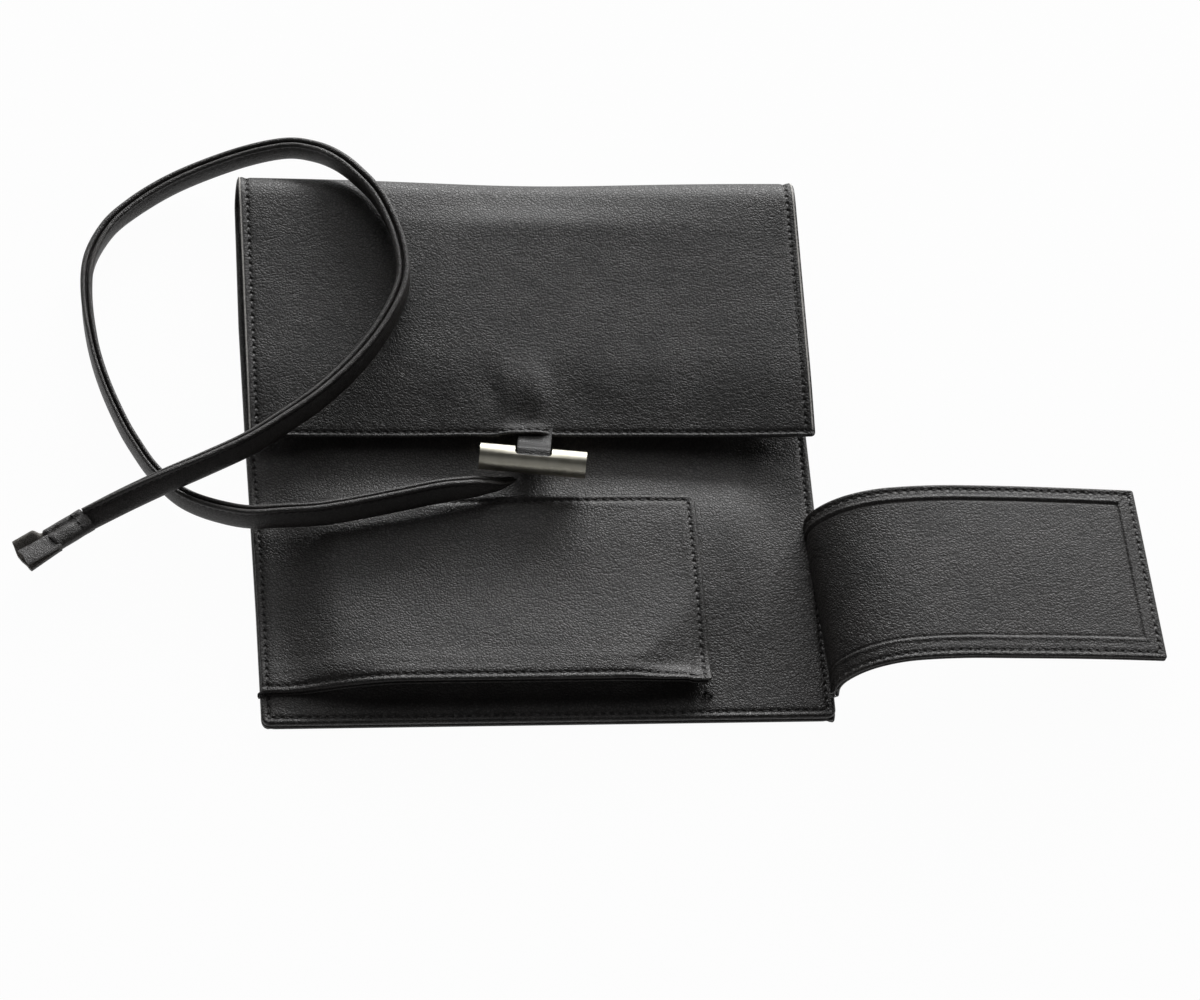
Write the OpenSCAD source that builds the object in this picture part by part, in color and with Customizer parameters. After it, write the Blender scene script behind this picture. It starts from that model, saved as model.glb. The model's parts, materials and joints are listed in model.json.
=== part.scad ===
// Leather pouch wallet with a fold-over top flap, a front pocket, a curled side flap,
// a metal toggle on a leather loop, and a wrap strap with a split leather end tab.
// The back of the pouch lies on z = 0, centred on the origin, with the top fold towards +Y
// and the side flap towards +X. The top flap is closed and the side flap is open.

/* [Pouch body] */
// Width of the pouch body
body_w = 180; // [150:1:240]
// Height of the closed pouch, from the bottom seam to the top fold
body_h = 204; // [185:1:280]
// Thickness of the outer leather
leather_t = 0.9; // [0.6:0.1:1.3]
// Thickness of the lining
lining_t = 0.3; // [0.2:0.05:0.5]
// Clear height of the main compartment at its middle
compartment_h = 5; // [4.6:0.1:7]
// Width of the sewn band along the left, bottom and right edges
seam_w = 7; // [5:0.5:10]
// Thickness of the turned-in allowance between the two panels
allowance_t = 1; // [0.6:0.1:1.6]
// Run over which the front panel rises from the seam band to its full height
slope_run = 20; // [14:1:30]
// Distance from the top fold back to the front panel's top edge
mouth_inset = 16; // [14:1:30]

/* [Top flap] */
// Outer radius of the soft top fold
fold_r = 7.5; // [7:0.1:9]
// Length of the flap from the end of the fold to its free edge
flap_len = 91.5; // [60:0.5:110]
// Width of the flap
flap_w = 179.5; // [140:0.5:240]
// Sideways shift of the flap against the body
flap_shift = 1.5; // [-3:0.5:3]
// Room between the front panel and the flap's free edge, for the loop's tail
under_flap = 2; // [1.8:0.1:3]

/* [Front pocket] */
// Width of the pocket
pocket_w = 141.5; // [100:0.5:160]
// Height of the pocket panel
pocket_h = 69.5; // [50:0.5:85]
// Distance from the bottom seam to the pocket's mouth
pocket_base = 12.5; // [10:0.5:20]
// Height of the pocket's underside at the middle of its gaping mouth
gape_z = 11; // [10.8:0.1:13]
// Depth of the stretch of pocket that gapes
gape_run = 45; // [30:1:60]
// Run over which the gape grows from the left seam, and from the right one
gape_side = [22, 9]; // [6:1:45]
// Width of the turned hem inside the mouth
hem_w = 8; // [5:0.5:12]
// Thickness of the turned hem
hem_t = 0.6; // [0.4:0.1:1]

/* [Side flap] */
// Width of the side flap along its root
side_w = 64; // [40:0.5:75]
// Length of the side flap along its curl
side_len = 116; // [90:1:130]
// Place of the root's lower corner, from the bottom right corner of the body
side_root_inset = [0, 7]; // [0:0.5:20]
// Turn of the root line against the side seam, in degrees
side_turn = 4.6; // [0:0.1:6]
// Width of the sewn flange at the root
side_flange = 3; // [2:0.5:4]
// Thickness of the side flap's facing, and of its backing
side_leather_t = 0.8; // [0.6:0.1:1.2]
// Thickness of the turned-in allowance between facing and backing
side_allowance_t = 0.5; // [0.3:0.1:0.8]
// Width of the raised border that the allowance makes
side_border_w = 5.5; // [3:0.5:8]

/* [Toggle] */
// Length of the toggle tube
toggle_len = 34; // [28:0.5:45]
// Outer diameter of the toggle tube
toggle_d = 8.5; // [8:0.1:11]
// Wall of the toggle tube
toggle_wall = 0.8; // [0.6:0.1:1.2]
// Length of the plug in each end of the tube
plug_len = 4; // [2:0.5:6]
// Diameter of the pin inside the toggle
pin_d = 2.6; // [2:0.1:3]
// Radial clearance of the pin in the loop's eye
pin_clear = 0.06; // [0.03:0.01:0.1]
// Length of the slot that the loop goes through
slot_len = 12.6; // [12.2:0.1:16]
// Middle of the toggle, on the body
toggle_at = [-0.3, -11.2]; // [-20:0.1:20]
// Turn of the toggle against the flap's edge, in degrees
toggle_turn = -7; // [-10:0.5:10]

/* [Toggle loop] */
// Width of the leather loop
loop_w = 11.4; // [8:0.1:12]
// Thickness of the loop's leather
loop_t = 0.8; // [0.6:0.1:0.9]
// Level distance from the toggle's middle to the loop's bend at the flap's edge
loop_reach = 12; // [11:0.5:18]
// Length of the sewn tail under the flap
tail_len = 17; // [10:1:25]

/* [Strap] */
// Height of the strap standing on edge
strap_h = 7.8; // [5:0.1:8]
// Thickness of the strap
strap_t = 3.4; // [2.4:0.1:4]
// Length of the sleeve on the strap's end
tab_sleeve_len = 14; // [10:1:20]
// Length of the two leaves past the sleeve
tab_leaf_len = 11; // [6:1:16]
// Splay of each leaf, in degrees
tab_splay = 5; // [0:1:14]

/* [Hidden] */
$fn = 48;

black = "#23201f";
lining_grey = "#8d8b88";
thread_black = "#141212";
steel = "#c9c8c2";

// Clearance between soft pieces that lie on each other
lay = 0.15;
// Half of the gap between two links of a bending strip
link_gap = 0.15;
// Extra bevel past half a hinge's turn, in degrees
bevel_spare = 2;
// Largest turn between two stations of a bent path, in degrees
bend_step = 6;
// Clearance of the toggle over what lies under it
toggle_clear = 0.3;
tack_d = 0.9;
tack_len = 4.5;

// Heights of the stacked layers
sheet_t = leather_t + lining_t;
band_z = sheet_t + allowance_t;
front_rise = compartment_h - allowance_t;
front_mid_z = sheet_t + compartment_h + sheet_t;
front_top_y = body_h / 2 - mouth_inset;
mouth_hem_w = 10;
mouth_hem_t = 0.6;

// Fold of the top flap: the path runs up the back, round the fold and down the front.
// The sheet is cut into lined strips there, one hinge between each pair.
fold_strips = 3;
fold_mid_r = fold_r - sheet_t / 2;
fold_centre_y = body_h / 2 - fold_r;
flap_edge_drop = 2 * fold_r - sheet_t / 2 - (front_mid_z + under_flap + sheet_t / 2);
flap_droop = asin(flap_edge_drop / flap_len);
fold_turn = 180 + flap_droop;
back_len = fold_centre_y + body_h / 2;
fold_len = fold_mid_r * fold_turn * PI / 180;
flap_path = [[0, 0], [back_len, 0], [back_len + fold_len, fold_turn],
    [back_len + fold_len + flap_len, fold_turn]];
flap_hinges = fold_strips + 1;
flap_hinge_turn = fold_turn / flap_hinges;
function flap_hinge_s(k) = back_len + fold_len * (k + 0.5) / flap_hinges;
flap_bevel = -(flap_hinge_turn / 2 + bevel_spare);

// Curl of the side flap: tangent angle against length, from the top of the root's corner
side_corner_len = 2.4;
side_curl = [[0, 0], [side_flange, 0], [side_flange + side_corner_len, 88],
    [side_flange + 0.08 * side_len, 50], [side_flange + 0.18 * side_len, 22],
    [side_flange + 0.30 * side_len, 0], [side_flange + 0.50 * side_len, -10],
    [side_flange + side_len, -12]];
// Each hinge of the side flap: its place along the curl and its turn when the flap closes
side_hinge_share = [0.026, 0.095, 0.168, 0.25];
side_hinge_s = [for (share = side_hinge_share) side_flange + share * side_len];
side_hinge_turn = [72, 48, 38, 19];
side_t = 2 * side_leather_t + side_allowance_t;
side_end_s = side_flange + side_len;
side_base_z = band_z + sheet_t + 3 * lay + side_t / 2;

// Toggle, loop and the strap's sewn end, stacked on the front panel
tail_t = 2 * loop_t;
tail_z = front_mid_z + tail_t / 2;
toggle_z = front_mid_z + tail_t + toggle_clear + toggle_d / 2;
eye_r = pin_d / 2 + pin_clear;
plug_r = toggle_d / 2 - toggle_wall;
loop_drop = toggle_z - tail_z - lay;
loop_angle = atan(loop_drop / loop_reach);
loop_run = norm([loop_reach, loop_drop]);
loop_lift_turn = 70;
loop_bevel = (loop_lift_turn + loop_angle) / 2 + bevel_spare;
slot_tilt = 14;
slot_floor = 0.2;
slot_corner_r = 1.6;

// Route of the strap, from the toggle to the end tab
strap_route = [[-6, -15, 8.7], [-11, -17.5, 9.6], [-17, -19.5, 11.5], [-30, -22, 12.4],
    [-43, -25, 12.6], [-56, -28, 12.8], [-68, -30, 12.6], [-80, -30, 11.6], [-91, -28.5, 9.6],
    [-101, -24, 6.8], [-110, -18, 4.8], [-121, -4, 4.2], [-128, 9, 4], [-133, 22, 4], [-137, 35, 4],
    [-139, 49, 4], [-140, 63, 4], [-140, 76, 4], [-136, 89, 4], [-126, 101, 4.4], [-115, 107, 5.2],
    [-103, 111.5, 6.4], [-88, 115, 9], [-74, 115, 12], [-65, 111.5, 15], [-58, 105.5, 17.8],
    [-52, 97.5, 19.2], [-45, 87, 19.3], [-40, 73, 18.7], [-38, 60, 18], [-40, 50, 17.4],
    [-47, 37, 16.7], [-56, 25, 16], [-67, 14, 15.5], [-78, 5.5, 15.1], [-90, -2.5, 14.4],
    [-104, -10, 13.3], [-116, -15.5, 12], [-128, -20, 9], [-140, -24.5, 6.6]];
strap_sides = 8;
strap_start_scale = [[1.8, 0.25], [1.5, 0.4], [1.15, 0.8]];
tab_sleeve_h = strap_h + 0.8;
tab_sleeve_t = strap_t + 1.8;
tab_leaf_t = 1.1;
tab_flare = 0.6;
tab_turn = 215;
tab_dip = 1.5;
tab_roll = 38;

function clamp01(t) = max(0, min(1, t));
function smooth(t) = let (c = clamp01(t)) c * c * (3 - 2 * c);
function mix(a, b, t) = a + (b - a) * t;
function unit(v) = v / norm(v);

// Stations along one side of a sheet: marks in from each end, and n even ones between them
function stations(lo, hi, lo_marks, hi_marks, n) =
    let (a = lo + lo_marks[len(lo_marks) - 1], b = hi - hi_marks[len(hi_marks) - 1])
    concat([for (m = lo_marks) lo + m],
        [for (i = [1:1:n]) mix(a, b, i / (n + 1))],
        [for (i = [len(hi_marks) - 1:-1:0]) hi - hi_marks[i]]);

// Height of the front lining's underside: low on the seam band, full over the compartment
function front_z(x, y) =
    let (inside = min(body_w / 2 - abs(x), y + body_h / 2) - seam_w)
    band_z + front_rise * smooth(inside / slope_run);
function front_top_z(x, y) = front_z(x, y) + sheet_t;

// Height of the pocket's underside: on the front panel at its seams, raised at its mouth
pocket_x0 = -body_w / 2;
pocket_x1 = pocket_x0 + pocket_w;
pocket_y0 = pocket_base - body_h / 2;
pocket_y1 = pocket_y0 + pocket_h;
pocket_seam = 2.5;
function pocket_gape(x) =
    smooth(min((x - pocket_x0 - seam_w) / gape_side[0],
        (pocket_x1 - pocket_seam - x) / gape_side[1]));
function pocket_z(x, y) =
    let (into = y - pocket_y0,
        raised = mix(front_mid_z, gape_z, smooth(1 - into / gape_run)),
        lift = max(0, raised - front_top_z(0, y)))
    front_top_z(x, y) + lay + pocket_gape(x) * lift
        + (hem_t + lay) * (1 - smooth((into - hem_w) / hem_w));

seam_marks = [0, seam_w, seam_w + slope_run * 0.3, seam_w + slope_run * 0.65, seam_w + slope_run];
front_xs = stations(-body_w / 2, body_w / 2, seam_marks, seam_marks, 3);
front_ys = stations(-body_h / 2, front_top_y, seam_marks, [0, mouth_hem_w], 4);
gape_marks = [0, pocket_seam, pocket_seam + gape_side[1] * 0.35, pocket_seam + gape_side[1] * 0.7,
    pocket_seam + gape_side[1]];
pocket_xs = stations(pocket_x0, pocket_x1, concat(seam_marks, [seam_w + gape_side[0]]), gape_marks, 3);
pocket_ys = stations(pocket_y0, pocket_y1, [0, hem_w / 2, hem_w, hem_w * 1.5, hem_w * 2], [0], 5);

// A sheet of even thickness whose underside follows a height function
module sheet(xs, ys, floor_z, t) {
    nx = len(xs);
    ny = len(ys);
    n = nx * ny;
    low = [for (y = ys) for (x = xs) [x, y, floor_z(x, y)]];
    high = [for (p = low) p + [0, 0, t]];
    cells = [for (j = [0:ny - 2]) for (i = [0:nx - 2]) j * nx + i];
    under = [for (a = cells) each [[a, a + 1, a + nx + 1], [a, a + nx + 1, a + nx]]];
    over = [for (f = under) [f[2] + n, f[1] + n, f[0] + n]];
    rim = concat([for (i = [0:nx - 2]) i], [for (j = [0:ny - 2]) j * nx + nx - 1],
        [for (i = [nx - 1:-1:1]) n - nx + i], [for (j = [ny - 1:-1:1]) j * nx]);
    walls = [for (k = [0:len(rim) - 1]) let (p = rim[k], q = rim[(k + 1) % len(rim)])
        each [[p, p + n, q + n], [p, q + n, q]]];
    polyhedron(points = concat(low, high), faces = concat(under, over, walls), convexity = 6);
}

// A point at length s along a path whose tangent angle is tabled against length
function bearing(path, s) = lookup(s, path);
function place(path, s) =
    let (n = max(1, ceil(s / 0.5)), h = s / n)
    [for (i = 0, p = [0, 0]; i <= n;
        p = p + h * [cos(bearing(path, (i + 0.5) * h)), sin(bearing(path, (i + 0.5) * h))],
        i = i + 1) if (i == n) p][0];
function beside(path, s, o) =
    let (a = bearing(path, s)) place(path, s) + o * [-sin(a), cos(a)];

// How far a bevel sets one face of a strip's end back from its middle surface
function trim(o, bevel) = max(0, o * sign(bevel)) * tan(abs(bevel));

// Stations along a path from a to b: its tabled points, with its bends cut into short steps
function bend_stations(path, a, b) = concat([a],
    [for (i = [0:len(path) - 2])
        let (d = path[i + 1] - path[i], m = max(1, ceil(abs(d[1]) / bend_step)))
        for (k = [0:m - 1]) let (s = path[i][0] + d[0] * k / m) if (s > a + 0.01 && s < b - 0.01) s],
    [b]);

// Outline of a strip of a bent path between two offsets, with an end bevelled for a hinge
module strip_outline(path, s0, s1, o0, o1, bevel0 = 0, bevel1 = 0) {
    a = s0 + (bevel0 == 0 ? 0 : link_gap);
    b = s1 - (bevel1 == 0 ? 0 : link_gap);
    crosses = o0 < 0 && o1 > 0;
    function side(o) =
        [for (s = bend_stations(path, a + trim(o, bevel0), b - trim(o, bevel1))) beside(path, s, o)];
    function back(points) = [for (i = [len(points) - 1:-1:0]) points[i]];
    polygon(concat(side(o0), crosses && bevel1 != 0 ? [place(path, b)] : [],
        back(side(o1)), crosses && bevel0 != 0 ? [place(path, a)] : []));
}

// ---- Pouch body ----

module across_body(w, shift = 0) {
    translate([shift - w / 2, -body_h / 2, sheet_t / 2])
        rotate([90, 0, 90])
            linear_extrude(w)
                children();
}

leather_o = [-sheet_t / 2, sheet_t / 2 - lining_t];
lining_o = [sheet_t / 2 - lining_t, sheet_t / 2];

module back_panel() {
    color(black)
        across_body(body_w)
            strip_outline(flap_path, 0, flap_hinge_s(0), leather_o[0], leather_o[1],
                0, flap_bevel);
}

module back_lining() {
    lining_edge = seam_w - 2;
    color(lining_grey)
        across_body(body_w - 2 * lining_edge)
            strip_outline(flap_path, lining_edge, flap_hinge_s(0) - 1, lining_o[0], lining_o[1]);
}

// The turned-in edges of both panels, in a U along the sides and the bottom
module seam_allowance() {
    color(black)
        translate([0, 0, sheet_t])
            linear_extrude(allowance_t)
                difference() {
                    translate([-body_w / 2, -body_h / 2])
                        square([body_w, front_top_y + body_h / 2]);
                    translate([seam_w - body_w / 2, seam_w - body_h / 2])
                        square([body_w - 2 * seam_w, body_h]);
                }
}

module front_lining() {
    color(lining_grey)
        sheet(front_xs, front_ys, function (x, y) front_z(x, y), lining_t);
}

module front_panel() {
    color(black)
        sheet(front_xs, front_ys, function (x, y) front_z(x, y) + lining_t, leather_t);
}

// The hem turned down inside the top edge of the front panel
module mouth_hem() {
    hem_x = body_w / 2 - seam_w - slope_run;
    color(black)
        translate([-hem_x, front_top_y - mouth_hem_w, sheet_t + compartment_h - mouth_hem_t])
            cube([2 * hem_x, mouth_hem_w, mouth_hem_t]);
}

// ---- Top flap ----

module fold_strip(k) {
    color(black)
        across_body(flap_w, flap_shift)
            strip_outline(flap_path, flap_hinge_s(k - 1), flap_hinge_s(k),
                -sheet_t / 2, sheet_t / 2, flap_bevel, flap_bevel);
}

module flap_panel() {
    color(black)
        across_body(flap_w, flap_shift)
            strip_outline(flap_path, flap_hinge_s(fold_strips), back_len + fold_len + flap_len,
                leather_o[0], leather_o[1], flap_bevel, 0);
}

module flap_lining() {
    lining_edge = 1;
    color(lining_grey)
        across_body(flap_w - 2 * lining_edge, flap_shift)
            strip_outline(flap_path, flap_hinge_s(fold_strips) + link_gap,
                back_len + fold_len + flap_len - lining_edge, lining_o[0], lining_o[1]);
}

// ---- Front pocket ----

module pocket_panel() {
    color(black)
        sheet(pocket_xs, pocket_ys, function (x, y) pocket_z(x, y), leather_t);
}

module pocket_hem() {
    xs = [for (x = pocket_xs) if (x > pocket_x0 + 0.1 && x < pocket_x1 - 0.1) x];
    ys = [for (y = pocket_ys) if (y <= pocket_y0 + hem_w + 0.01) y];
    color(black)
        sheet(xs, ys, function (x, y) pocket_z(x, y) - hem_t, hem_t);
}

// Short thread bars that hold the two ends of the pocket's mouth down
module pocket_tacks() {
    color(thread_black)
        for (x = [pocket_x0 + seam_w / 2, pocket_x1 - tack_d])
            translate([x, pocket_y0 - tack_d, front_top_z(x, pocket_y0) + tack_d / 2 + lay])
                rotate([-15, 0, 0])
                    translate([0, 0, -tack_d / 2])
                        cylinder(h = tack_len / 2, d = tack_d);
}

// ---- Side flap ----

module on_side_root() {
    translate([body_w / 2 - side_root_inset[0], side_root_inset[1] - body_h / 2, side_base_z])
        rotate([0, 0, side_turn])
            translate([-side_flange, 0, 0])
                children();
}

// A strip of the side flap, between two distances along its root
module side_strip(v0, v1) {
    on_side_root()
        rotate([90, 0, 0])
            translate([0, 0, -v1])
                linear_extrude(v1 - v0)
                    children();
}

function side_bevel(k) = side_hinge_turn[k] / 2 + bevel_spare;

module side_root() {
    color(black)
        side_strip(0, side_w)
            strip_outline(side_curl, 0, side_hinge_s[0], -side_t / 2, side_t / 2,
                0, side_bevel(0));
}

module side_bend(k) {
    color(black)
        side_strip(0, side_w)
            strip_outline(side_curl, side_hinge_s[k - 1], side_hinge_s[k], -side_t / 2, side_t / 2,
                side_bevel(k - 1), side_bevel(k));
}

module side_backing() {
    color(black)
        side_strip(0, side_w)
            strip_outline(side_curl, side_hinge_s[3], side_end_s,
                -side_t / 2, -side_t / 2 + side_leather_t, side_bevel(3), 0);
}

// The turned-in edges between backing and facing, round three sides of the flap
module side_allowance() {
    o0 = -side_t / 2 + side_leather_t;
    o1 = o0 + side_allowance_t;
    s0 = side_hinge_s[3] + side_t / 2;
    color(black) {
        for (v = [0, side_w - side_border_w])
            side_strip(v, v + side_border_w)
                strip_outline(side_curl, s0, side_end_s, o0, o1);
        side_strip(side_border_w, side_w - side_border_w)
            strip_outline(side_curl, side_end_s - side_border_w, side_end_s, o0, o1);
    }
}

// The facing steps down from the raised border to a sunk window
module side_facing() {
    window_top = side_t / 2 - side_allowance_t;
    border_s = side_end_s - side_border_w;
    color(black) {
        for (v = [0, side_w - side_border_w])
            side_strip(v, v + side_border_w)
                strip_outline(side_curl, side_hinge_s[3], side_end_s,
                    side_t / 2 - side_leather_t, side_t / 2, side_bevel(3), 0);
        side_strip(side_border_w, side_w - side_border_w)
            strip_outline(side_curl, border_s, side_end_s,
                side_t / 2 - side_leather_t, side_t / 2);
        side_strip(side_border_w, side_w - side_border_w)
            strip_outline(side_curl, side_hinge_s[3], border_s,
                window_top - side_leather_t, window_top, side_bevel(3), 0);
    }
}

// Thread bars at the two ends of the side flap's root
module side_tacks() {
    color(thread_black)
        for (v = [tack_d, side_w - tack_d - tack_len])
            on_side_root()
                translate([side_flange / 2, v, side_t / 2 + tack_d / 2])
                    rotate([-90, 0, 0])
                        cylinder(h = tack_len, d = tack_d);
}

// ---- Toggle and its loop ----

module on_toggle() {
    translate([toggle_at[0], toggle_at[1], toggle_z])
        rotate([0, 0, toggle_turn])
            children();
}

// Turned so that its local z runs along the toggle
module along_toggle(x0) {
    on_toggle()
        translate([x0, 0, 0])
            rotate([90, 0, 90])
                children();
}

module toggle_tube() {
    color(steel)
        difference() {
            along_toggle(-toggle_len / 2)
                cylinder(h = toggle_len, d = toggle_d);
            along_toggle(-toggle_len / 2 - 1)
                cylinder(h = toggle_len + 2, r = plug_r);
            on_toggle()
                rotate([slot_tilt, 0, 0])
                    slot_cutter();
        }
}

// Cutter with rounded corners, run through the side of the tube that the loop enters
module slot_cutter() {
    translate([0, 0, -toggle_d])
        linear_extrude(2 * toggle_d)
            slot_outline(slot_len / 2 - slot_corner_r, slot_floor + slot_corner_r);
}

module slot_outline(half, low) {
    for (x = [-half, half])
        translate([x, low])
            circle(r = slot_corner_r);
    translate([-half, slot_floor])
        square([2 * half, toggle_d]);
    translate([-slot_len / 2, low])
        square([slot_len, toggle_d]);
}

module toggle_plug(x0) {
    color(steel)
        difference() {
            along_toggle(x0)
                cylinder(h = plug_len, r = plug_r);
            along_toggle(x0 - 1)
                cylinder(h = plug_len + 2, d = pin_d);
        }
}

module toggle_pin() {
    color(steel)
        along_toggle(-toggle_len / 2)
            cylinder(h = toggle_len, d = pin_d);
}

// The loop's two plies run from the eye round the pin down to the flap's edge
module loop_eye() {
    outer_r = eye_r + loop_t;
    wall_mid = eye_r + loop_t / 2;
    ply_end = loop_run - link_gap;
    back_cut = tail_t / 2 * tan(loop_bevel);
    color(black)
        along_toggle(-loop_w / 2)
            linear_extrude(loop_w)
                difference() {
                    union() {
                        circle(r = outer_r);
                        rotate(-loop_angle)
                            polygon([[0, -wall_mid], [outer_r * 1.6, -tail_t / 2],
                                [ply_end, -tail_t / 2], [ply_end, 0],
                                [ply_end - back_cut, tail_t / 2],
                                [outer_r * 1.6, tail_t / 2], [0, wall_mid]]);
                    }
                    circle(r = eye_r);
                }
}

module loop_tail() {
    start = loop_reach + link_gap;
    back_cut = tail_t / 2 * tan(loop_bevel);
    color(black)
        on_toggle()
            translate([-loop_w / 2, 0, tail_z - toggle_z])
                rotate([90, 0, 90])
                    linear_extrude(loop_w)
                        polygon([[start, -tail_t / 2],
                            [start + tail_len, -tail_t / 2], [start + tail_len, tail_t / 2],
                            [start + back_cut, tail_t / 2], [start, 0]]);
}

// ---- Strap ----

// Direction of the route at ring i, and the ring's points in its own upright oval
function route_dir(i) =
    unit(strap_route[min(i + 1, len(strap_route) - 1)] - strap_route[max(i - 1, 0)]);
function ring_scale(i) = i < len(strap_start_scale) ? strap_start_scale[i] : [1, 1];
function ring(i) =
    let (d = route_dir(i), side = unit(cross(d, [0, 0, 1])), up = cross(side, d), k = ring_scale(i))
    [for (j = [0:strap_sides - 1]) let (a = 360 * (j + 0.5) / strap_sides)
        strap_route[i] + side * k[0] * strap_t / 2 * cos(a) / cos(180 / strap_sides)
            + up * k[1] * strap_h / 2 * sin(a) / cos(180 / strap_sides) * 0.96];

module strap() {
    n = strap_sides;
    rings = len(strap_route);
    skin = [for (i = [0:rings - 2]) for (j = [0:n - 1]) let (a = i * n + j, b = i * n + (j + 1) % n)
        each [[a, b, b + n], [a, b + n, a + n]]];
    color(black)
        polyhedron(points = [for (i = [0:rings - 1]) each ring(i)],
            faces = concat([[for (j = [n - 1:-1:0]) j]], skin,
                [[for (j = [0:n - 1]) (rings - 1) * n + j]]), convexity = 10);
}

// The strap's flattened end, sewn to the front panel under the toggle
module strap_anchor() {
    color(black)
        translate([strap_route[0][0], strap_route[0][1], front_mid_z])
            rotate([0, 0, 27])
                translate([0, -strap_h / 2, 0])
                    cube([tail_len, strap_h, tail_t]);
}

module on_tab() {
    translate(strap_route[len(strap_route) - 1])
        rotate([0, 0, tab_turn])
            rotate([tab_roll, tab_dip, 0])
                children();
}

module stadium(h, t) {
    for (y = [-1, 1])
        translate([0, y * (h - t) / 2])
            circle(d = t);
    square([t, h - t], center = true);
}

module tab_sleeve() {
    color(black)
        on_tab()
            rotate([90, 0, 90])
                linear_extrude(tab_sleeve_len)
                    stadium(tab_sleeve_h, tab_sleeve_t);
}

module tab_leaf(side) {
    root_h = tab_sleeve_h / 2;
    tip_h = root_h + tab_flare;
    color(black)
        on_tab()
            translate([tab_sleeve_len + tab_leaf_t * sin(tab_splay), side * tab_leaf_t, 0])
                rotate([90, 0, side * tab_splay])
                    linear_extrude(tab_leaf_t, center = true)
                        polygon([[0, -root_h], [tab_leaf_len, -tip_h],
                            [tab_leaf_len, tip_h], [0, root_h]]);
}

back_panel();
back_lining();
front_panel();
front_lining();
seam_allowance();
mouth_hem();
fold_strip(1);  // fold_strip_1
fold_strip(2);  // fold_strip_2
fold_strip(3);  // fold_strip_3
flap_panel();
flap_lining();
pocket_panel();
pocket_hem();
pocket_tacks();
side_root();
side_bend(1);  // side_bend_1
side_bend(2);  // side_bend_2
side_bend(3);  // side_bend_3
side_backing();
side_allowance();
side_facing();
side_tacks();
loop_tail();
loop_eye();
toggle_tube();
toggle_pin();
toggle_plug(-toggle_len / 2);  // toggle_plug_left
toggle_plug(toggle_len / 2 - plug_len);  // toggle_plug_right
strap();
strap_anchor();
tab_sleeve();
tab_leaf(1);  // tab_leaf_upper
tab_leaf(-1);  // tab_leaf_lower
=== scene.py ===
"""A leather pouch wallet: fold-over flap, gaping front pocket, curled side flap, metal
toggle on a leather loop, and a wrap strap that ends in a split leather tab.

Lengths are in millimetres while a shape is worked out, and in metres in every mesh.
"""

import json
import logging
import math
from dataclasses import dataclass, replace
from enum import Enum
from functools import cached_property
from typing import Any, Callable, Sequence

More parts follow.
